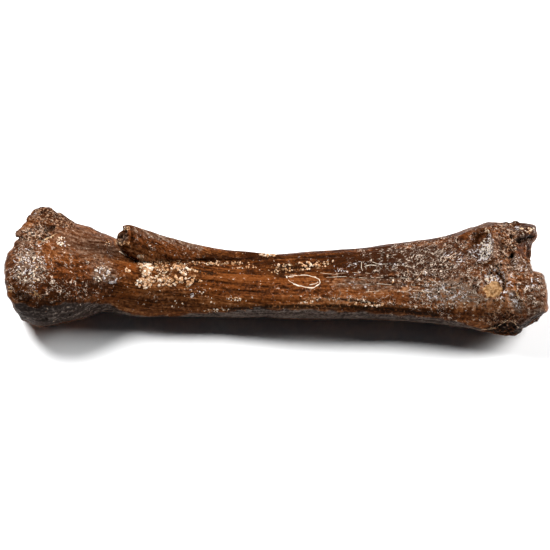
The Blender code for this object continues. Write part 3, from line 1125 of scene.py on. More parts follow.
@dataclass(frozen=True)
class BoneFinish:
    """The dark petrified bone: brown fibres, pale threads (partly painted glints), chalky crust,
    dark pores.
    """

    dark: Colour = (0.030, 0.0075, 0.0013)
    deep: Colour = (0.064, 0.0175, 0.0037)
    brown: Colour = (0.116, 0.0335, 0.0075)
    warm: Colour = (0.198, 0.0660, 0.0180)
    gold: Colour = (0.360, 0.1620, 0.0700)
    rust: Colour = (0.150, 0.0380, 0.0065)
    ash: Colour = (0.085, 0.0400, 0.0220)
    ash_light: Colour = (0.215, 0.1350, 0.0920)
    beige: Colour = (0.720, 0.5700, 0.4500)
    chalk: Colour = (0.690, 0.6250, 0.6150)
    cream: Colour = (0.340, 0.1950, 0.0950)
    cream_light: Colour = (0.560, 0.4500, 0.3100)
    ochre: Colour = (0.222, 0.1060, 0.0370)
    ochre_light: Colour = (0.450, 0.2640, 0.1270)
    near_black: Colour = (0.010, 0.0045, 0.0020)
    # The grey underside's colours, dark and light: painted shade and floor reflection.
    grey: Colour = (0.024, 0.0170, 0.0140)
    grey_light: Colour = (0.175, 0.1420, 0.1230)
    wall: Colour = (0.380, 0.2250, 0.1350)
    specular: float = 0.02
    relief: float = 0.9

    def material(self) -> bpy.types.Material:
        """Makes the material.

        Returns:
            The material, with its nodes.
        """
        r = Recipe("petrified_bone")
        # The noises: two along the fibres and the rest even in all directions.
        fibre = r.kept("fibre", "Vector")
        cloud = r.noise(r.place, 26.0, 3.0, 0.55)
        broad = r.noise(fibre, 7.0, 2.0, 0.5, 0.3)
        fine = r.noise(fibre, 1.35, 2.0, 0.6, 0.3)
        mottle = r.noise(r.place, 3.4, 3.0, 0.65, 0.5)
        grit = r.noise(r.place, 1.7, 1.5, 0.6, 0.3)
        spark = r.noise(r.stretched(r.place, (1.0, -1.0, 1.0)), 1.9, 1.0, 0.6, 0.6)
        swirl = r.noise(r.place, 2.3, 0.5, 0.5, 1.1)
        thread = r.near(swirl, 0.5, 0.050, 0.020)
        painted_shade_lines = r.near(swirl, 0.61, 0.070, 0.030)
        speckle = r.mark(Mark.SPECKLE)

        # The brown ground, from dark to gold.
        fibres = r.times(fine, r.more(0.50, -0.26, speckle))
        grains = r.times(grit, r.more(0.28, 0.18, speckle))
        lumps = r.times(mottle, r.more(0.22, 0.08, speckle))
        tone = r.plus(r.plus(fibres, grains), lumps)
        tone = r.more(tone, 0.32, r.less(broad, 0.5))
        tone = r.more(tone, 0.30, r.less(cloud, 0.5))
        # Worn lightens and damp darkens the ground: partly wear and darker bone, partly painted
        # light on faces that the lamps behind leave dark and painted shade on faces that they light
        # brightly.
        tone = r.more(tone, 0.075, r.mark(Mark.WEAR_AND_PAINTED_LIGHT))
        tone = r.more(tone, -0.075, r.mark(Mark.DARK_TONE_AND_PAINTED_SHADE))
        tone = r.more(tone, -0.015, speckle)
        browns = ((0.37, self.dark), (0.45, self.deep), (0.51, self.brown), (0.58, self.warm))
        r.colour = r.ramp(tone, browns + ((0.68, self.gold),))

        # Films that tint the ground: rust, ash and the dull grey between the speckles.
        rusty = r.times(r.mark(Mark.RUST), r.rise(tone, 0.38, 0.52))
        r.coat(r.times(rusty, 0.75), self.rust)
        clean = r.more(r.plus(fine, grit), 0.09, r.mark(Mark.WEAR_AND_PAINTED_LIGHT))
        ashes = r.blend(r.rise(clean, 0.95, 1.30), self.ash, self.ash_light)
        ashen = r.times(r.mark(Mark.ASH), r.rise(r.plus(fine, mottle), 0.76, 1.06))
        r.coat(ashen, ashes)
        dulls = r.blend(r.rise(tone, 0.42, 0.58), self.ash, self.ash_light)
        r.coat(r.times(speckle, 0.08), dulls)

        # Fine marks: dark lines of painted shade beside pale threads and flecks, which are partly
        # painted glints on the fine relief and partly pale specks, and the net of spongy bone.
        gate = r.rise(r.more(mottle, 0.30, speckle), 0.66, 0.86)
        r.coat(r.times(r.times(painted_shade_lines, gate), 0.8), self.dark)
        flecks_and_glints = r.rise(r.more(grit, 0.035, speckle), 0.71, 0.77)
        pale = r.most(flecks_and_glints, r.times(thread, gate))
        r.coat(r.times(pale, 0.95), self.beige)
        rims = r.cells(r.place, 1.9, "DISTANCE_TO_EDGE")
        net = r.times(r.mark(Mark.NET), r.rise(mottle, 0.38, 0.50))
        r.coat(r.times(net, r.rise(rims, 0.10, 0.24)), self.dark)
        strands = r.times(r.rise(rims, 0.13, 0.05), r.rise(grit, 0.40, 0.62))
        r.coat(r.times(net, strands), self.wall)

        # Crusts: chalk, cream and ochre, each broken up by a noise.
        chalky = r.more(spark, 0.24, r.mark(Mark.CHALK))
        crust = r.rise(r.more(chalky, 0.07, thread), 0.76, 0.85)
        r.coat(r.times(crust, 0.92), self.chalk)
        creams = r.blend(r.rise(grit, 0.42, 0.66), self.cream, self.cream_light)
        cream = r.rise(r.more(spark, 0.34, r.mark(Mark.CREAM)), 0.74, 0.84)
        r.coat(cream, creams)
        ochres = r.blend(r.rise(grit, 0.36, 0.66), self.ochre, self.ochre_light)
        ochre = r.rise(r.more(grit, 0.5, r.mark(Mark.OCHRE)), 0.76, 0.84)
        r.coat(ochre, ochres)

        # Dark places: dark stains that are partly painted shade, the grey underside, which is
        # painted shade and floor reflection, and pores and holes painted near black, partly dust in
        # them and partly painted shade in the hollows.
        darkened = r.times(r.mark(Mark.DARK_STAIN_AND_PAINTED_SHADE), r.rise(spark, 0.68, 0.50))
        r.coat(darkened, self.near_black)
        ground = r.more(r.plus(grit, fine), -0.14, r.mark(Mark.DARK_TONE_AND_PAINTED_SHADE))
        greys = r.blend(r.rise(ground, 0.80, 1.30), self.grey, self.grey_light)
        bare = r.rise(r.plus(spark, r.times(pale, 0.2)), 0.80, 0.68)
        under = r.times(r.mark(Mark.PAINTED_UNDERSIDE_SHADE), bare)
        r.coat(r.times(under, 0.93), greys)
        pores = r.rise(r.cells(r.place, 2.5), 0.38, 0.24)
        pit = r.times(r.times(pores, r.rise(mottle, 0.44, 0.50)), r.more(0.15, 0.75, speckle))
        pit = r.times(pit, r.less(1.0, ochre))
        r.coat(pit, self.near_black)
        r.coat(r.times(r.mark(Mark.HOLE), 0.92), self.near_black)
        r.feed(r.colour, r.shader.inputs["Base Color"])

        # The gloss, which dust dulls, and the fine relief.
        dusty = r.most(r.most(crust, cream), r.most(ochre, pale))
        rough = r.more(r.more(0.20, 0.3, grit), 0.3, dusty)
        r.feed(rough, r.shader.inputs["Roughness"])
        r.shader.inputs["Specular IOR Level"].default_value = self.specular
        height = r.more(r.more(r.times(mottle, 0.5), 0.5, fine), 1.0, grit)
        height = r.more(height, 0.25, dusty)
        r.bump(r.less(height, r.times(pit, 0.6)), self.relief)
        return r.material


@dataclass(frozen=True)
class HiddenStain:
    """A mark in patches on the sides that the sheet doesn't show."""

    mark: Mark
    seed: int
    patch: Spot
    rise: Place
    strength: float
    at_ends: float = 0.0


@dataclass
class Bone:
    """The petrified bone itself: one piece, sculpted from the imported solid.

    Its border is the lower edge of the side that the sheet shows. Overhang and shoulder say how
    far the skin stands out and up above it, along the sheet. The pairs in the fields on fibres
    are a radius and a twist.
    """

    name: str = "fossil_bone"
    relax_passes: int = 16
    polish_passes: int = 5
    most_triangles: int = 196000
    border: Path = (
        (6, 303), (14, 301), (24, 304), (36, 308), (50, 306.5), (62, 304), (76, 301), (90, 303.5),
        (108, 303.5), (115, 306), (122, 312), (135, 314.5), (160, 314.5), (200, 312.5), (230, 310),
        (260, 308), (300, 309), (330, 311), (370, 312), (400, 314), (430, 317), (460, 321),
        (482, 329.5),
    )
    border_wander: float = 2.4
    border_soft: float = 1.6
    face_width: float = 32.0
    overhang: Path = (
        (112, 0), (150, 1), (370, 1.1), (430, 2.4), (462, 2.2), (486, 0.3), (500, 0),
    )
    shoulder: Path = (
        (112, 0), (150, 1), (370, 1.3), (430, 2.4), (462, 2.2), (486, 0.3), (500, 0),
    )
    fibre_draw: float = 0.11
    fibre_slice: float = 8.0
    fibre_start: float = -180.0
    ulna_floor: Path = ((-105, 34), (-88, 33.5), (-54, 31), (-14, 29.5))
    ulna_span: Place = (-105.0, 0.0)
    ulna_inner_side: float = -1.0
    ulna_fibre: Place = (9.0, 0.055)
    shaft_fibre: Place = (24.0, 0.0)
    unevenness: float = 0.50
    streak_height: float = 0.35
    lump_height: float = 0.30
    grain_height: float = 0.34
    pore_spacing: float = 2.2
    pore_wall: float = 0.28
    pore_depth: float = 0.9
    pit_spacing: float = 5.5
    pit_depth: float = 1.2
    worn_off: float = 0.7
    hidden: tuple[HiddenStain, ...] = (
        HiddenStain(Mark.CHALK, 32, (22, 12, 12), (0.25, 0.7), 0.35, 0.5),
        HiddenStain(Mark.RUST, 33, (40, 16, 16), (-0.1, 0.5), 0.7),
        HiddenStain(Mark.ASH, 34, (30, 20, 20), (0.1, 0.6), 0.7),
        HiddenStain(Mark.DARK_STAIN_AND_PAINTED_SHADE, 35, (30, 12, 12), (0.2, 0.8), 0.6),
    )
    elbow: ElbowEnd = field(default_factory=ElbowEnd)
    ulna: UlnaStump = field(default_factory=UlnaStump)
    shaft: Shaft = field(default_factory=Shaft)
    wrist: WristEnd = field(default_factory=WristEnd)

    def build(self) -> bpy.types.Object:
        """Sculpts the bone and puts it in the scene.

        Returns:
            The finished piece.
        """
        skin = Skin(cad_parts[NODE], self.relax_passes)
        self._nudge(skin)
        self._edge(skin)
        skin.settle()
        self._weather(skin)
        for part in (self.elbow, self.wrist, self.ulna, self.shaft):
            part.carve(skin)
            part.stain(skin)
        self._roughen(skin, joined(self.elbow.spongy + self.wrist.spongy, skin))
        polished = joined(self.wrist.polished, skin)
        skin.relax(self.polish_passes, polished)
        skin.wipe(Mark.SPECKLE, self.worn_off * polished)
        skin.wipe(Mark.NET, polished)
        self._hidden_sides(skin)
        self._underside(skin)
        skin.points[:, 2] = np.maximum(skin.points[:, 2], 0.0)
        skin.refresh()
        return self._finish(skin)

    def _curve(self, skin: Skin, path: Path) -> Array:
        """Reads a curve over the sheet's width at each point of the skin."""
        return np.interp(skin.drawn[:, 0], *np.array(path).T)

    def _nudge(self, skin: Skin) -> None:
        """Shifts the skin around places on the outline.

        Args:
            skin: The bone's skin.
        """
        right, up, _ = SHEET.axes()
        moved = np.zeros((len(skin.points), 2))
        for nudge in self.elbow.outline + self.ulna.outline + self.wrist.outline:
            off = np.sum((skin.drawn - np.array(nudge.at)) ** 2, axis=1)
            moved += np.exp(-off / nudge.reach**2)[:, None] * np.array(nudge.shift)
        moved /= SHEET.units_per_mm
        skin.points += moved[:, :1] * right - moved[:, 1:] * up
        skin.refresh()

    def _edge(self, skin: Skin) -> None:
        """Pushes the border out, which flattens the face above it, and lifts its shoulder.

        Args:
            skin: The bone's skin.
        """
        above = self._curve(skin, self.border) - skin.drawn[:, 1]
        push = step(self.face_width, 5.0, above) * step(-9.0, 0.0, above) * skin.seen
        skin.points[:, 1] -= push * self._curve(skin, self.overhang)
        lift = step(24.0, 2.0, above) * step(-5.0, 0.0, above) * skin.seen
        skin.points[:, 2] += lift * self._curve(skin, self.shoulder)
        skin.refresh()

    def _weather(self, skin: Skin) -> None:
        """Makes the broad unevenness and the long streaks of the surface.

        Args:
            skin: The bone's skin.
        """
        p = skin.base
        ends = step(70.0, 150.0, np.abs(p[:, 0]))
        broad = self.unevenness * Grain(11).layered(p, (24.0, 12.0, 12.0), 3) * (0.5 + ends)
        streaks = self.streak_height * Grain(12).layered(p, (24.0, 2.6, 2.6), 3)
        streaks = streaks * (1.0 - 0.4 * ends)
        lumps = self.lump_height * (Grain(13).layered(p, 7.0, 2) * ends)
        skin.raise_by(broad + streaks + lumps)

    def _roughen(self, skin: Skin, spongy: Array) -> None:
        """Opens the pores of weathered bone and crumbles the two ends.

        Args:
            skin: The bone's skin.
            spongy: How spongy each point is.
        """
        p = skin.base
        ends = step(85.0, 145.0, np.abs(p[:, 0]))
        rough = np.clip(0.30 + 0.70 * ends + 0.5 * Grain(21).layered(p, 30.0, 2) * ends, 0.1, 1.3)
        rough *= 1.0 - 0.7 * skin.marks[Mark.ASH] * skin.seen
        skin.raise_by(self.grain_height * rough * Grain(22).layered(p, 3.0, 3))
        near, second, own = Grain(23).cells(p, self.pore_spacing)
        pore = step(0.46, 0.18, near) * step(0.35, 0.65, own)
        wall = step(0.34, 0.0, second - near)
        skin.raise_by(spongy * (self.pore_wall * wall - self.pore_depth * pore))
        skin.mark(Mark.HOLE, 0.6 * spongy * pore)
        skin.mark(Mark.NET, 0.9 * spongy)
        lone, _, chance = Grain(24).cells(p, self.pit_spacing)
        pit = step(0.17, 0.08, lone) * step(0.60, 0.70, chance) * (0.10 + 0.90 * ends)
        skin.raise_by(-self.pit_depth * pit)
        skin.mark(Mark.HOLE, pit)

    def _hidden_sides(self, skin: Skin) -> None:
        """Marks the sides that the sheet doesn't show.

        Args:
            skin: The bone's skin.
        """
        p = skin.base
        away = 1.0 - skin.seen
        ends = step(80.0, 140.0, np.abs(p[:, 0]))
        patches = Grain(31).layered(p, (34.0, 18.0, 18.0), 3)
        skin.mark(Mark.SPECKLE, away * np.clip(0.20 + 0.45 * ends + 0.8 * patches, 0.0, 1.0))
        for stain in self.hidden:
            found = step(*stain.rise, Grain(stain.seed).layered(p, stain.patch, 3))
            skin.mark(stain.mark, away * found * (stain.strength + stain.at_ends * ends))

    def _underside(self, skin: Skin) -> None:
        """Marks what the sheet shows below the border as the grey underside: painted shade and
        floor reflection.

        Args:
            skin: The bone's skin.
        """
        shaky = Grain(57).layered(skin.base, 6.0, 2) * self.border_wander
        below = skin.drawn[:, 1] + shaky - self._curve(skin, self.border)
        (first, _), (last, _) = self.border[0], self.border[-1]
        inside = (skin.drawn[:, 0] > first) & (skin.drawn[:, 0] < last)
        soft = self.border_soft / 2
        skin.mark(Mark.PAINTED_UNDERSIDE_SHADE, step(-soft, soft, below) * inside * skin.seen)

    def _fibres(self, skin: Skin) -> Array:
        """Lays the bone's fibres along it, so that they flare towards both ends.

        Args:
            skin: The sculpted skin.

        Returns:
            A place for each point that changes little along a fibre and fast across it.
        """
        p = skin.base
        first, last = self.ulna_span
        above = p[:, 2] > np.interp(p[:, 0], *np.array(self.ulna_floor).T)
        within = (p[:, 0] > first) & (p[:, 0] < last) & (p[:, 1] > self.ulna_inner_side)
        ulna = above & within
        face = step(0.5, 0.85, np.abs(skin.way[:, 0]))[:, None]
        place = np.zeros_like(p)
        place[:, 0] = p[:, 0] * self.fibre_draw
        for group, (radius, twist) in ((ulna, self.ulna_fibre), (~ulna, self.shaft_fibre)):
            off = self._from_axis(p[group])
            length = np.maximum(np.linalg.norm(off, axis=1), 0.2)[:, None]
            turn = np.arctan2(off[:, 1], off[:, 0]) - (p[group, 0] + 90.0) * twist
            off = np.stack([np.cos(turn), np.sin(turn)], axis=1) * length
            place[group, 1:] = off / length * radius * (1.0 + (length - 1.0) * face[group])
        return place

    def _from_axis(self, points: Array) -> Array:
        """How far points are from the long axis, as shares of the section's half size there.

        Args:
            points: The points of one stretch of bone.

        Returns:
            The shares to the side and up, one row each.
        """
        slot = ((points[:, 0] - self.fibre_start) / self.fibre_slice).astype(int)
        slices = np.arange(slot.max() + 2)
        off = np.zeros((len(points), 2))
        for axis in (1, 2):
            low = np.full(len(slices), 99.0)
            high = np.full(len(slices), -99.0)
            np.minimum.at(low, slot, points[:, axis])
            np.maximum.at(high, slot, points[:, axis])
            held = slices[high > low]
            at = (held + 0.5) * self.fibre_slice + self.fibre_start
            middle = np.interp(points[:, 0], at, (high + low)[held] / 2.0)
            half = np.interp(points[:, 0], at, (high - low)[held] / 2.0)
            off[:, axis - 1] = (points[:, axis] - middle) / half
        return off

    def _finish(self, skin: Skin) -> bpy.types.Object:
        """Turns the skin into the finished piece.

        Args:
            skin: The sculpted skin.

        Returns:
            The piece.
        """
        mesh = skin.mesh
        run = mesh.attributes.new("fibre", "FLOAT_VECTOR", "POINT")
        run.data.foreach_set("vector", self._fibres(skin).astype(np.float32).ravel())
        for mark in Mark:
            layer = mesh.attributes.new(mark.value, "FLOAT", "POINT")
            layer.data.foreach_set("value", skin.marks[mark].astype(np.float32))
        draft = placed("draft", mesh)
        thin = draft.modifiers.new("thin", "DECIMATE")
        thin.ratio = self.most_triangles / (2.0 * len(mesh.polygons))
        graph = bpy.context.evaluated_depsgraph_get()
        final = bpy.data.meshes.new_from_object(
            draft.evaluated_get(graph), preserve_all_data_layers=True, depsgraph=graph
        )
        bpy.data.objects.remove(draft)
        final.name = self.name
        piece = placed(self.name, final)
        final.shade_smooth()
        final.materials.clear()
        final.materials.append(BoneFinish().material())
        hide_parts(NODE)
        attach(piece, "root")
        return piece


def skin_tree(piece: bpy.types.Object) -> BVHTree:
    """Makes the piece's surface, in millimetres, ready for finding places on it.

    Args:
        piece: The piece.

    Returns:
        The surface.
    """
    points = read(piece.data.vertices, "co", 3) / MM
    faces = [tuple(face.vertices) for face in piece.data.polygons]
    return BVHTree.FromPolygons(points.tolist(), faces)


@dataclass(frozen=True)
class SedimentFinish:
    """Dry sediment: from brownish cream to chalk white, dusty and dull."""

    name: str
    earth: Colour = (0.140, 0.0560, 0.0190)
    cream: Colour = (0.600, 0.3250, 0.1600)
    white: Colour = (0.800, 0.6900, 0.5600)
    specular: float = 0.02
    relief: float = 0.15

    def material(self) -> bpy.types.Material:
        """Makes the material.

        Returns:
            The material, with its nodes.
        """
        r = Recipe(self.name)
        cloud = r.noise(r.place, 1.6, 2.0, 0.6)
        grit = r.noise(r.place, 0.5, 2.0, 0.6)
        level = r.more(r.kept("tint"), 0.9, r.less(cloud, 0.5))
        level = r.more(level, 0.5, r.less(grit, 0.5))
        stops = ((0.0, self.earth), (0.5, self.cream), (1.0, self.white))
        r.feed(r.ramp(level, stops), r.shader.inputs["Base Color"])
        r.feed(r.more(0.6, 0.3, grit), r.shader.inputs["Roughness"])
        r.shader.inputs["Specular IOR Level"].default_value = self.specular
        r.bump(grit, self.relief)
        return r.material


@dataclass
class Clinging:
    """A piece that clings to the bone and is joined from many small bodies."""

    name: str
    points: list[Array] = field(default_factory=list)
    faces: list[Array] = field(default_factory=list)
    tints: list[Array] = field(default_factory=list)
    count: int = 0

    def add(self, points: Array, faces: Array, tint: float) -> None:
        """Adds a body.

        Args:
            points: Its points, in millimetres.
            faces: Its faces, one row of its own point numbers each.
            tint: A number that the finish reads.
        """
        self.points.append(points)
        self.faces.append(faces + self.count)
        self.tints.append(np.full(len(points), tint))
        self.count += len(points)

    def finish(self) -> bpy.types.Object:
        """Joins the bodies and puts the piece in the scene.

        Returns:
            The piece.
        """
        mesh = bpy.data.meshes.new(self.name)
        points = np.concatenate(self.points) * MM
        mesh.from_pydata(points.tolist(), [], np.concatenate(self.faces).tolist())
        layer = mesh.attributes.new("tint", "FLOAT", "POINT")
        layer.data.foreach_set("value", np.concatenate(self.tints).astype(np.float32))
        mesh.materials.append(SedimentFinish(self.name).material())
        piece = placed(self.name, mesh)
        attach(piece, "root")
        return piece


@dataclass(frozen=True)
class CrumbField:
    """A patch of crumbs on the sheet: an oval, how many there are and how large they are."""

    at: Place
    reach: Place
    turn: float
    count: int
    size: Place
    tint: float
    clump: float = 0.0
    flat: float = 0.7


@dataclass
class Crumbs:
    """Sediment crumbs that stick to the bone, joined into one piece."""

    name: str
    seed: int
    fields: tuple[CrumbField, ...]
    sunk: float = 0.35
    uneven: float = 0.50
    tint_spread: float = 0.22
    slimmest: float = 0.7
    slim_spread: float = 0.5
    patch: float = 7.0
    patch_share: float = 0.6

    def build(self, tree: BVHTree) -> bpy.types.Object:
        """Sets the crumbs on the bone.

        Args:
            tree: The bone's surface.

        Returns:
            The finished piece.
        """
        rng = np.random.default_rng(self.seed)
        ball = bmesh.new()
        bmesh.ops.create_icosphere(ball, subdivisions=2, radius=1.0)
        shape = np.array([v.co[:] for v in ball.verts])
        sides = np.array([[v.index for v in face.verts] for face in ball.faces])
        ball.free()
        piece = Clinging(self.name)
        for crumb in self.fields:
            for spot in self._spots(crumb, rng):
                eye, way = SHEET.ray(spot)
                hit, normal, _, _ = tree.ray_cast(eye, way)
                size = crumb.size[0] + (crumb.size[1] - crumb.size[0]) * rng.random() ** 2
                turn, stretch = rng.random(2) * (math.tau, self.slim_spread) + (0.0, self.slimmest)
                tint = crumb.tint + self.tint_spread * rng.normal()
                if hit is None:
                    continue
                lumps = Grain(self.seed + len(piece.points) % 97).soft(shape + 9.0, 0.75)
                body = shape * (1.0 + self.uneven * lumps)[:, None]
                body = body * np.array((stretch, 1.0 / stretch, crumb.flat))
                side = normal.orthogonal().normalized()
                side.rotate(Quaternion(normal, turn))
                rows = np.array((side, normal.cross(side), normal))
                lift = np.array(normal) * size * crumb.flat * (1.0 - 2.0 * self.sunk)
                piece.add(body * size @ rows + (np.array(hit) + lift), sides, tint)
        return piece.finish()

    def _spots(self, crumb: CrumbField, rng: np.random.Generator) -> Array:
        """Scatters places over a field.

        Args:
            crumb: The field.
            rng: Where the chances come from.

        Returns:
            The places on the sheet.
        """
        angle = rng.random(crumb.count) * math.tau
        away = np.sqrt(rng.random(crumb.count))
        u = np.cos(angle) * away * crumb.reach[0]
        v = np.sin(angle) * away * crumb.reach[1]
        spots = np.stack(turned(u, v, crumb.turn), axis=1) + np.array(crumb.at)
        flat = np.concatenate([spots, np.zeros((len(spots), 1))], axis=1)
        kept = Grain(self.seed).layered(flat, self.patch, 2) > crumb.clump - self.patch_share
        return spots[kept]


@dataclass(frozen=True)
class Line:
    """A thin line of dried mineral on the sheet."""

    path: Path
    width: float
    tint: float
    broken: float = 0.0
    wander: float = 0.5


@dataclass
class MineralLines:
    """The white ring and the pale lines and scratches, joined into one piece."""

    name: str = "mineral_lines"
    seed: int = 300
    pace: float = 0.8
    swelling: float = 0.6
    crest: float = 0.3
    proud: float = 0.10
    sunk: float = 0.35
    longest_gap: float = 2.5
    fewest_rings: int = 3
    lines: tuple[Line, ...] = (
        Line(RING_TOP, 0.3, 0.92, 0.15),
        Line(((314, 276.4), (318.6, 279.4), (319.4, 282.4), (317, 285.4)), 0.32, 0.95),
        Line(((318, 284), (313, 286.8), (306, 286.6), (298, 285.2), (292, 283)), 0.42, 0.95, 0.05),
        Line(((294, 283.6), (289.4, 281.4), (286.6, 278.6)), 0.18, 0.75, 0.35),
        Line(((285.6, 275.8), (291, 276.4), (297, 276)), 0.28, 0.9, 0.1),
        Line(((309, 284.6), (315, 283.6), (318.6, 281)), 0.26, 0.9, 0.1),
        Line(((326, 277), (345, 276.6), (366, 277.4), (388, 277), (410, 278.6)), 0.16, 0.85, 0.3),
        Line(((338, 283), (352, 284), (372, 283), (392, 284.6)), 0.18, 0.85, 0.35),
        Line(((320, 272.4), (334, 273.4), (352, 272), (371, 273)), 0.15, 0.75, 0.4),
        Line(((364, 266), (370, 264.4), (376, 265)), 0.24, 0.95, 0.15),
        Line(((372, 262), (380, 263.8), (388, 263.6)), 0.2, 0.9, 0.2),
        Line(((386, 268), (398, 265), (409, 266)), 0.16, 0.85, 0.3),
        Line(((407, 268), (408, 275), (407.4, 284)), 0.16, 0.65, 0.3),
        Line(((360.4, 260), (361, 267), (363.4, 272)), 0.16, 0.9, 0.4),
        Line(((345, 290.5), (364, 291.6), (380, 290)), 0.16, 0.75, 0.35),
        Line(((398, 292), (414, 290), (432, 292)), 0.16, 0.75, 0.35),
        Line(((414, 280), (421, 272), (426, 266)), 0.15, 0.6, 0.3),
        Line(((118.6, 251), (124, 254.4), (130, 256.4), (134.6, 260)), 0.34, 0.95),
        Line(((442, 262), (449, 256), (458, 252)), 0.26, 0.8, 0.2),
        Line(FOOT_LINE, 0.26, 0.68, 0.15),
        Line(((509, 319.6), (514, 322.4), (518.6, 328.6)), 0.22, 0.68, 0.15),
    )

    def build(self, tree: BVHTree) -> bpy.types.Object:
        """Lays the lines on the bone.

        Args:
            tree: The bone's surface.

        Returns:
            The finished piece.
        """
        piece = Clinging(self.name)
        for number, line in enumerate(self.lines):
            for run in self._runs(line, number, tree):
                piece.add(run, self._strip(len(run) // 4), line.tint)
        return piece.finish()

    def _strip(self, rings: int) -> Array:
        """The triangles of a closed bar with four corners all along.

        Args:
            rings: How many rings of corners it has.

        Returns:
            The triangles.
        """
        sides = []
        for ring in range(rings - 1):
            for k in range(4):
                a, b = ring * 4 + k, ring * 4 + (k + 1) % 4
                sides += [(a, b, b + 4), (a, b + 4, a + 4)]
        last = rings * 4 - 4
        caps = [(0, 2, 1), (0, 3, 2), (last, last + 1, last + 2), (last, last + 2, last + 3)]
        return np.array(sides + caps)

    def _runs(self, line: Line, number: int, tree: BVHTree) -> list[Array]:
        """Drapes a line over the bone.

        Args:
            line: The line.
            number: Its place in the list.
            tree: The bone's surface.

        Returns:
            The corners of each unbroken run.
        """
        steps = [math.dist(a, b) for a, b in zip(line.path, line.path[1:])]
        along = np.concatenate([[0.0], np.cumsum(steps)])
        at = np.arange(0.0, along[-1], self.pace)
        across, down = (np.interp(at, along, column) for column in np.array(line.path).T)
        track = np.stack([at, np.zeros_like(at), np.zeros_like(at)], axis=1)
        drop, slip, swell, gaps = (
            Grain(self.seed + number).layered(track + 40.0 * k, size, 2)
            for k, size in enumerate((7.0, 7.0, 3.0, 6.0))
        )
        spots = zip(across + slip * line.wander, down + drop * line.wander)
        hits = [tree.ray_cast(*SHEET.ray(spot))[:2] for spot in spots]
        widths = line.width * (1.0 + self.swelling * swell)
        there = gaps > line.broken * 2.0 - 1.0
        runs, run = [], []
        for k in range(len(at) - 1):
            (here, normal), (ahead, _) = hits[k], hits[k + 1]
            missed = here is None or ahead is None or not there[k]
            if missed or (ahead - here).length > self.longest_gap:
                runs, run = runs + [run], []
                continue
            side = (ahead - here).cross(normal).normalized()
            run += [
                here + side * widths[k] - normal * self.sunk / 2,
                here + side * widths[k] * self.crest + normal * self.proud,
                here - side * widths[k] + normal * self.proud / 2,
                here - normal * self.sunk,
            ]
        return [np.array(group) for group in runs + [run] if len(group) >= 4 * self.fewest_rings]


@dataclass(frozen=True)
class SoftBox:
    """A round studio light that faces the bone."""

    name: str
    azimuth: float
    elevation: float
    size: float
    power: float
    distance: float = 1.7

    def place(self, aim: Vector) -> None:
        """Hangs the light.

        Args:
            aim: The point that the light faces.
        """
        a, e = math.radians(self.azimuth), math.radians(self.elevation)
        away = Vector((math.sin(a) * math.cos(e), math.cos(a) * math.cos(e), math.sin(e)))
        data = bpy.data.lights.new(self.name, "AREA")
        data.shape = "DISK"
        data.size = self.size
        data.energy = self.power
        light = placed(self.name, data)
        light.location = aim + away * self.distance
        light.rotation_euler = (-away).to_track_quat("-Z", "Y").to_euler()


@dataclass
class Studio:
    """The plain white table, the two soft boxes behind it, the room and the camera."""

    sheet: Sheet = SHEET
    sensor: float = 36.0
    boxes: tuple[SoftBox, ...] = (
        SoftBox("box_left", -53.0, 47.5, 0.76, 46.5),
        SoftBox("box_right", 69.5, 22.0, 1.20, 67.0),
    )
    room_light: float = 0.019
    room_tint: Colour = (0.60, 0.95, 1.20)
    room_seen: Colour = (1.0, 1.0, 1.0)
    table_radius: float = 0.9
    table_white: Colour = (0.96, 0.96, 0.96)
    table_roughness: float = 0.9
    table_gloss: float = 0.1

    def place(self) -> None:
        """Puts the camera, the lights and the table in the scene."""
        self._camera()
        for box in self.boxes:
            box.place(Vector(self.sheet.aim) * MM)
        self._table()
        self._room()
        bpy.context.scene.view_settings.view_transform = "Standard"

    def _camera(self) -> None:
        """Makes the scene's camera, looking down on the rear face from the inner side."""
        data = bpy.data.cameras.new("camera")
        data.sensor_width = self.sensor
        data.lens = self.sheet.reach() / self.sheet.width * self.sensor
        camera = placed("camera", data)
        camera.location = Vector(self.sheet.eye()) * MM
        camera.rotation_euler = Vector(-self.sheet.axes()[2]).to_track_quat("-Z", "Y").to_euler()
        bpy.context.scene.camera = camera

    def _table(self) -> None:
        """Makes the white surface that the bone lies on."""
        r = self.table_radius
        mesh = bpy.data.meshes.new("table")
        mesh.from_pydata([(-r, -r, 0), (r, -r, 0), (r, r, 0), (-r, r, 0)], [], [(0, 1, 2, 3)])
        white = bpy.data.materials.new("white_table")
        white.use_nodes = True
        shader = white.node_tree.nodes["Principled BSDF"]
        shader.inputs["Base Color"].default_value = (*self.table_white, 1.0)
        shader.inputs["Roughness"].default_value = self.table_roughness
        shader.inputs["Specular IOR Level"].default_value = self.table_gloss
        mesh.materials.append(white)
        placed("table", mesh)

    def _room(self) -> None:
        """Makes the room white to the eye, and dim as a light."""
        world = bpy.data.worlds.new("room")
        world.use_nodes = True
        nodes, links = world.node_tree.nodes, world.node_tree.links
        lit = nodes["Background"]
        lit.inputs["Strength"].default_value = self.room_light
        lit.inputs["Color"].default_value = (*self.room_tint, 1.0)
        seen = nodes.new("ShaderNodeBackground")
        seen.inputs["Color"].default_value = (*self.room_seen, 1.0)
        ray = nodes.new("ShaderNodeLightPath")
        mix = nodes.new("ShaderNodeMixShader")
        links.new(ray.outputs["Is Camera Ray"], mix.inputs["Fac"])
        links.new(lit.outputs["Background"], mix.inputs[1])
        links.new(seen.outputs["Background"], mix.inputs[2])
        links.new(mix.outputs["Shader"], nodes["World Output"].inputs["Surface"])
        bpy.context.scene.world = world


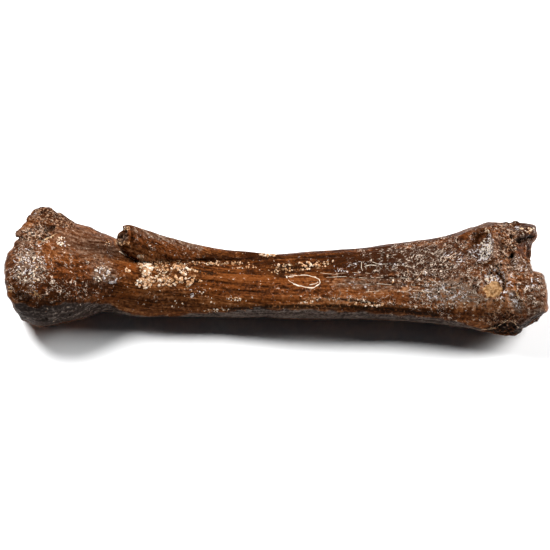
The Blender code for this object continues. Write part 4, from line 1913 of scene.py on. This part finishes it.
SEDIMENT = (
    Crumbs(
        "sediment_crust",
        41,
        (
            CrumbField((144, 260.5), (8.5, 6), 20, 150, (0.25, 0.8), 0.62, 0.35, 0.5),
            CrumbField((146.5, 263.5), (8, 2.6), 48, 70, (0.3, 0.85), 1.1, 0.1, 0.5),
            CrumbField((145, 275), (7, 8), 0, 70, (0.25, 0.8), 0.7, 0.2, 0.5),
            CrumbField((154, 274), (11, 8), 10, 130, (0.25, 0.7), 0.55, 0.35, 0.5),
            CrumbField((144, 283), (9, 5), 0, 80, (0.3, 0.85), 0.6, 0.3, 0.6),
        ),
    ),
    Crumbs(
        "sediment_crumbs",
        42,
        (
            CrumbField((164, 268), (12, 6), 16, 70, (0.25, 0.8), 0.45, 0.5, 0.6),
            CrumbField((162, 282), (14, 4.5), 8, 80, (0.25, 0.8), 0.5, 0.55, 0.6),
            CrumbField((184, 270), (14, 5), 16, 110, (0.3, 1.1), 0.5, 0.6, 0.6),
            CrumbField((184, 279), (18, 5), 10, 120, (0.3, 1.1), 0.5, 0.62, 0.6),
            CrumbField((178, 262), (22, 3), 2, 40, (0.3, 0.6), 0.35),
            CrumbField((220, 262.5), (22, 2.2), 0, 46, (0.3, 0.65), 0.5),
            CrumbField((286, 268), (18, 6), -6, 46, (0.3, 0.9), 0.5, 0.3),
            CrumbField((306, 266), (7, 5), -6, 24, (0.4, 0.9), 0.55),
            CrumbField((324, 263), (12, 3), -6, 30, (0.3, 0.7), 0.5),
            CrumbField((248, 266), (16, 5), 0, 26, (0.3, 0.55), 0.4),
            CrumbField((267, 254.5), (9, 1.6), 0, 34, (0.35, 0.7), 0.6),
            CrumbField((127, 269.5), (2.2, 1.8), 0, 6, (0.5, 0.9), 0.65),
            CrumbField((122, 243.5), (7.5, 2), -6, 26, (0.3, 0.6), 0.35),
            CrumbField((126.5, 228), (2.6, 3.2), 0, 16, (0.3, 0.6), 0.5),
            CrumbField((117.5, 240), (2.6, 2.4), 0, 12, (0.3, 0.6), 0.35),
        ),
    ),
    Crumbs(
        "pale_crumbs",
        43,
        (
            CrumbField((60.5, 238), (3.4, 2.2), -20, 9, (0.35, 0.7), 0.8),
            CrumbField((60.5, 244), (3.4, 2), 20, 9, (0.35, 0.65), 0.8),
            CrumbField((57.6, 241), (1.4, 3), 0, 5, (0.35, 0.65), 0.75),
            CrumbField((107, 243), (2.4, 4), -20, 8, (0.3, 0.55), 0.6),
            CrumbField((29, 268), (13, 18), 0, 90, (0.3, 0.6), 0.85, 0.4),
            CrumbField((103, 274), (12, 9), 10, 40, (0.3, 0.55), 0.85, 0.4),
            CrumbField((216, 310), (13, 1.6), -3, 20, (0.3, 0.55), 0.75),
            CrumbField((234, 298.5), (7, 2), 5, 22, (0.3, 0.55), 0.8),
            CrumbField((307, 301.5), (8, 2), -3, 16, (0.3, 0.5), 0.75),
            CrumbField((363, 302), (20, 3.5), 6, 40, (0.3, 0.6), 0.65, 0.2),
            CrumbField((377, 305), (3, 1.6), 6, 8, (0.4, 0.8), 0.7),
            CrumbField((392, 280.5), (2, 1.6), 0, 5, (0.4, 0.8), 0.7),
            CrumbField((180, 297), (32, 10), 4, 46, (0.25, 0.5), 0.8, 0.3),
            CrumbField((485.5, 248), (6.5, 11), 12, 130, (0.25, 0.5), 1.4, 0.5),
            CrumbField((490, 278), (6.5, 3.4), 0, 26, (0.3, 0.6), 1),
            CrumbField((457, 262), (14, 9), 20, 30, (0.25, 0.5), 0.8, 0.4),
            CrumbField((528, 229), (6, 4), 0, 10, (0.3, 0.7), 0.6),
            CrumbField((487.5, 231), (2.4, 1.8), 0, 9, (0.4, 0.8), 0.6),
            CrumbField((440, 295), (34, 14), 4, 34, (0.25, 0.45), 0.8, 0.4),
        ),
    ),
)


def main() -> None:
    """Builds the pieces in order and measures the whole."""
    logging.basicConfig(level=logging.INFO, format="%(name)s %(message)s")
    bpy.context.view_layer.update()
    Studio().place()
    bone = Bone().build()
    tree = skin_tree(bone)
    pieces = [bone] + [crumbs.build(tree) for crumbs in SEDIMENT] + [MineralLines().build(tree)]
    for piece in pieces:
        piece.data.calc_loop_triangles()
        LOG.info("%s: %d triangles", piece.name, len(piece.data.loop_triangles))


if __name__ == "__main__":
    main()
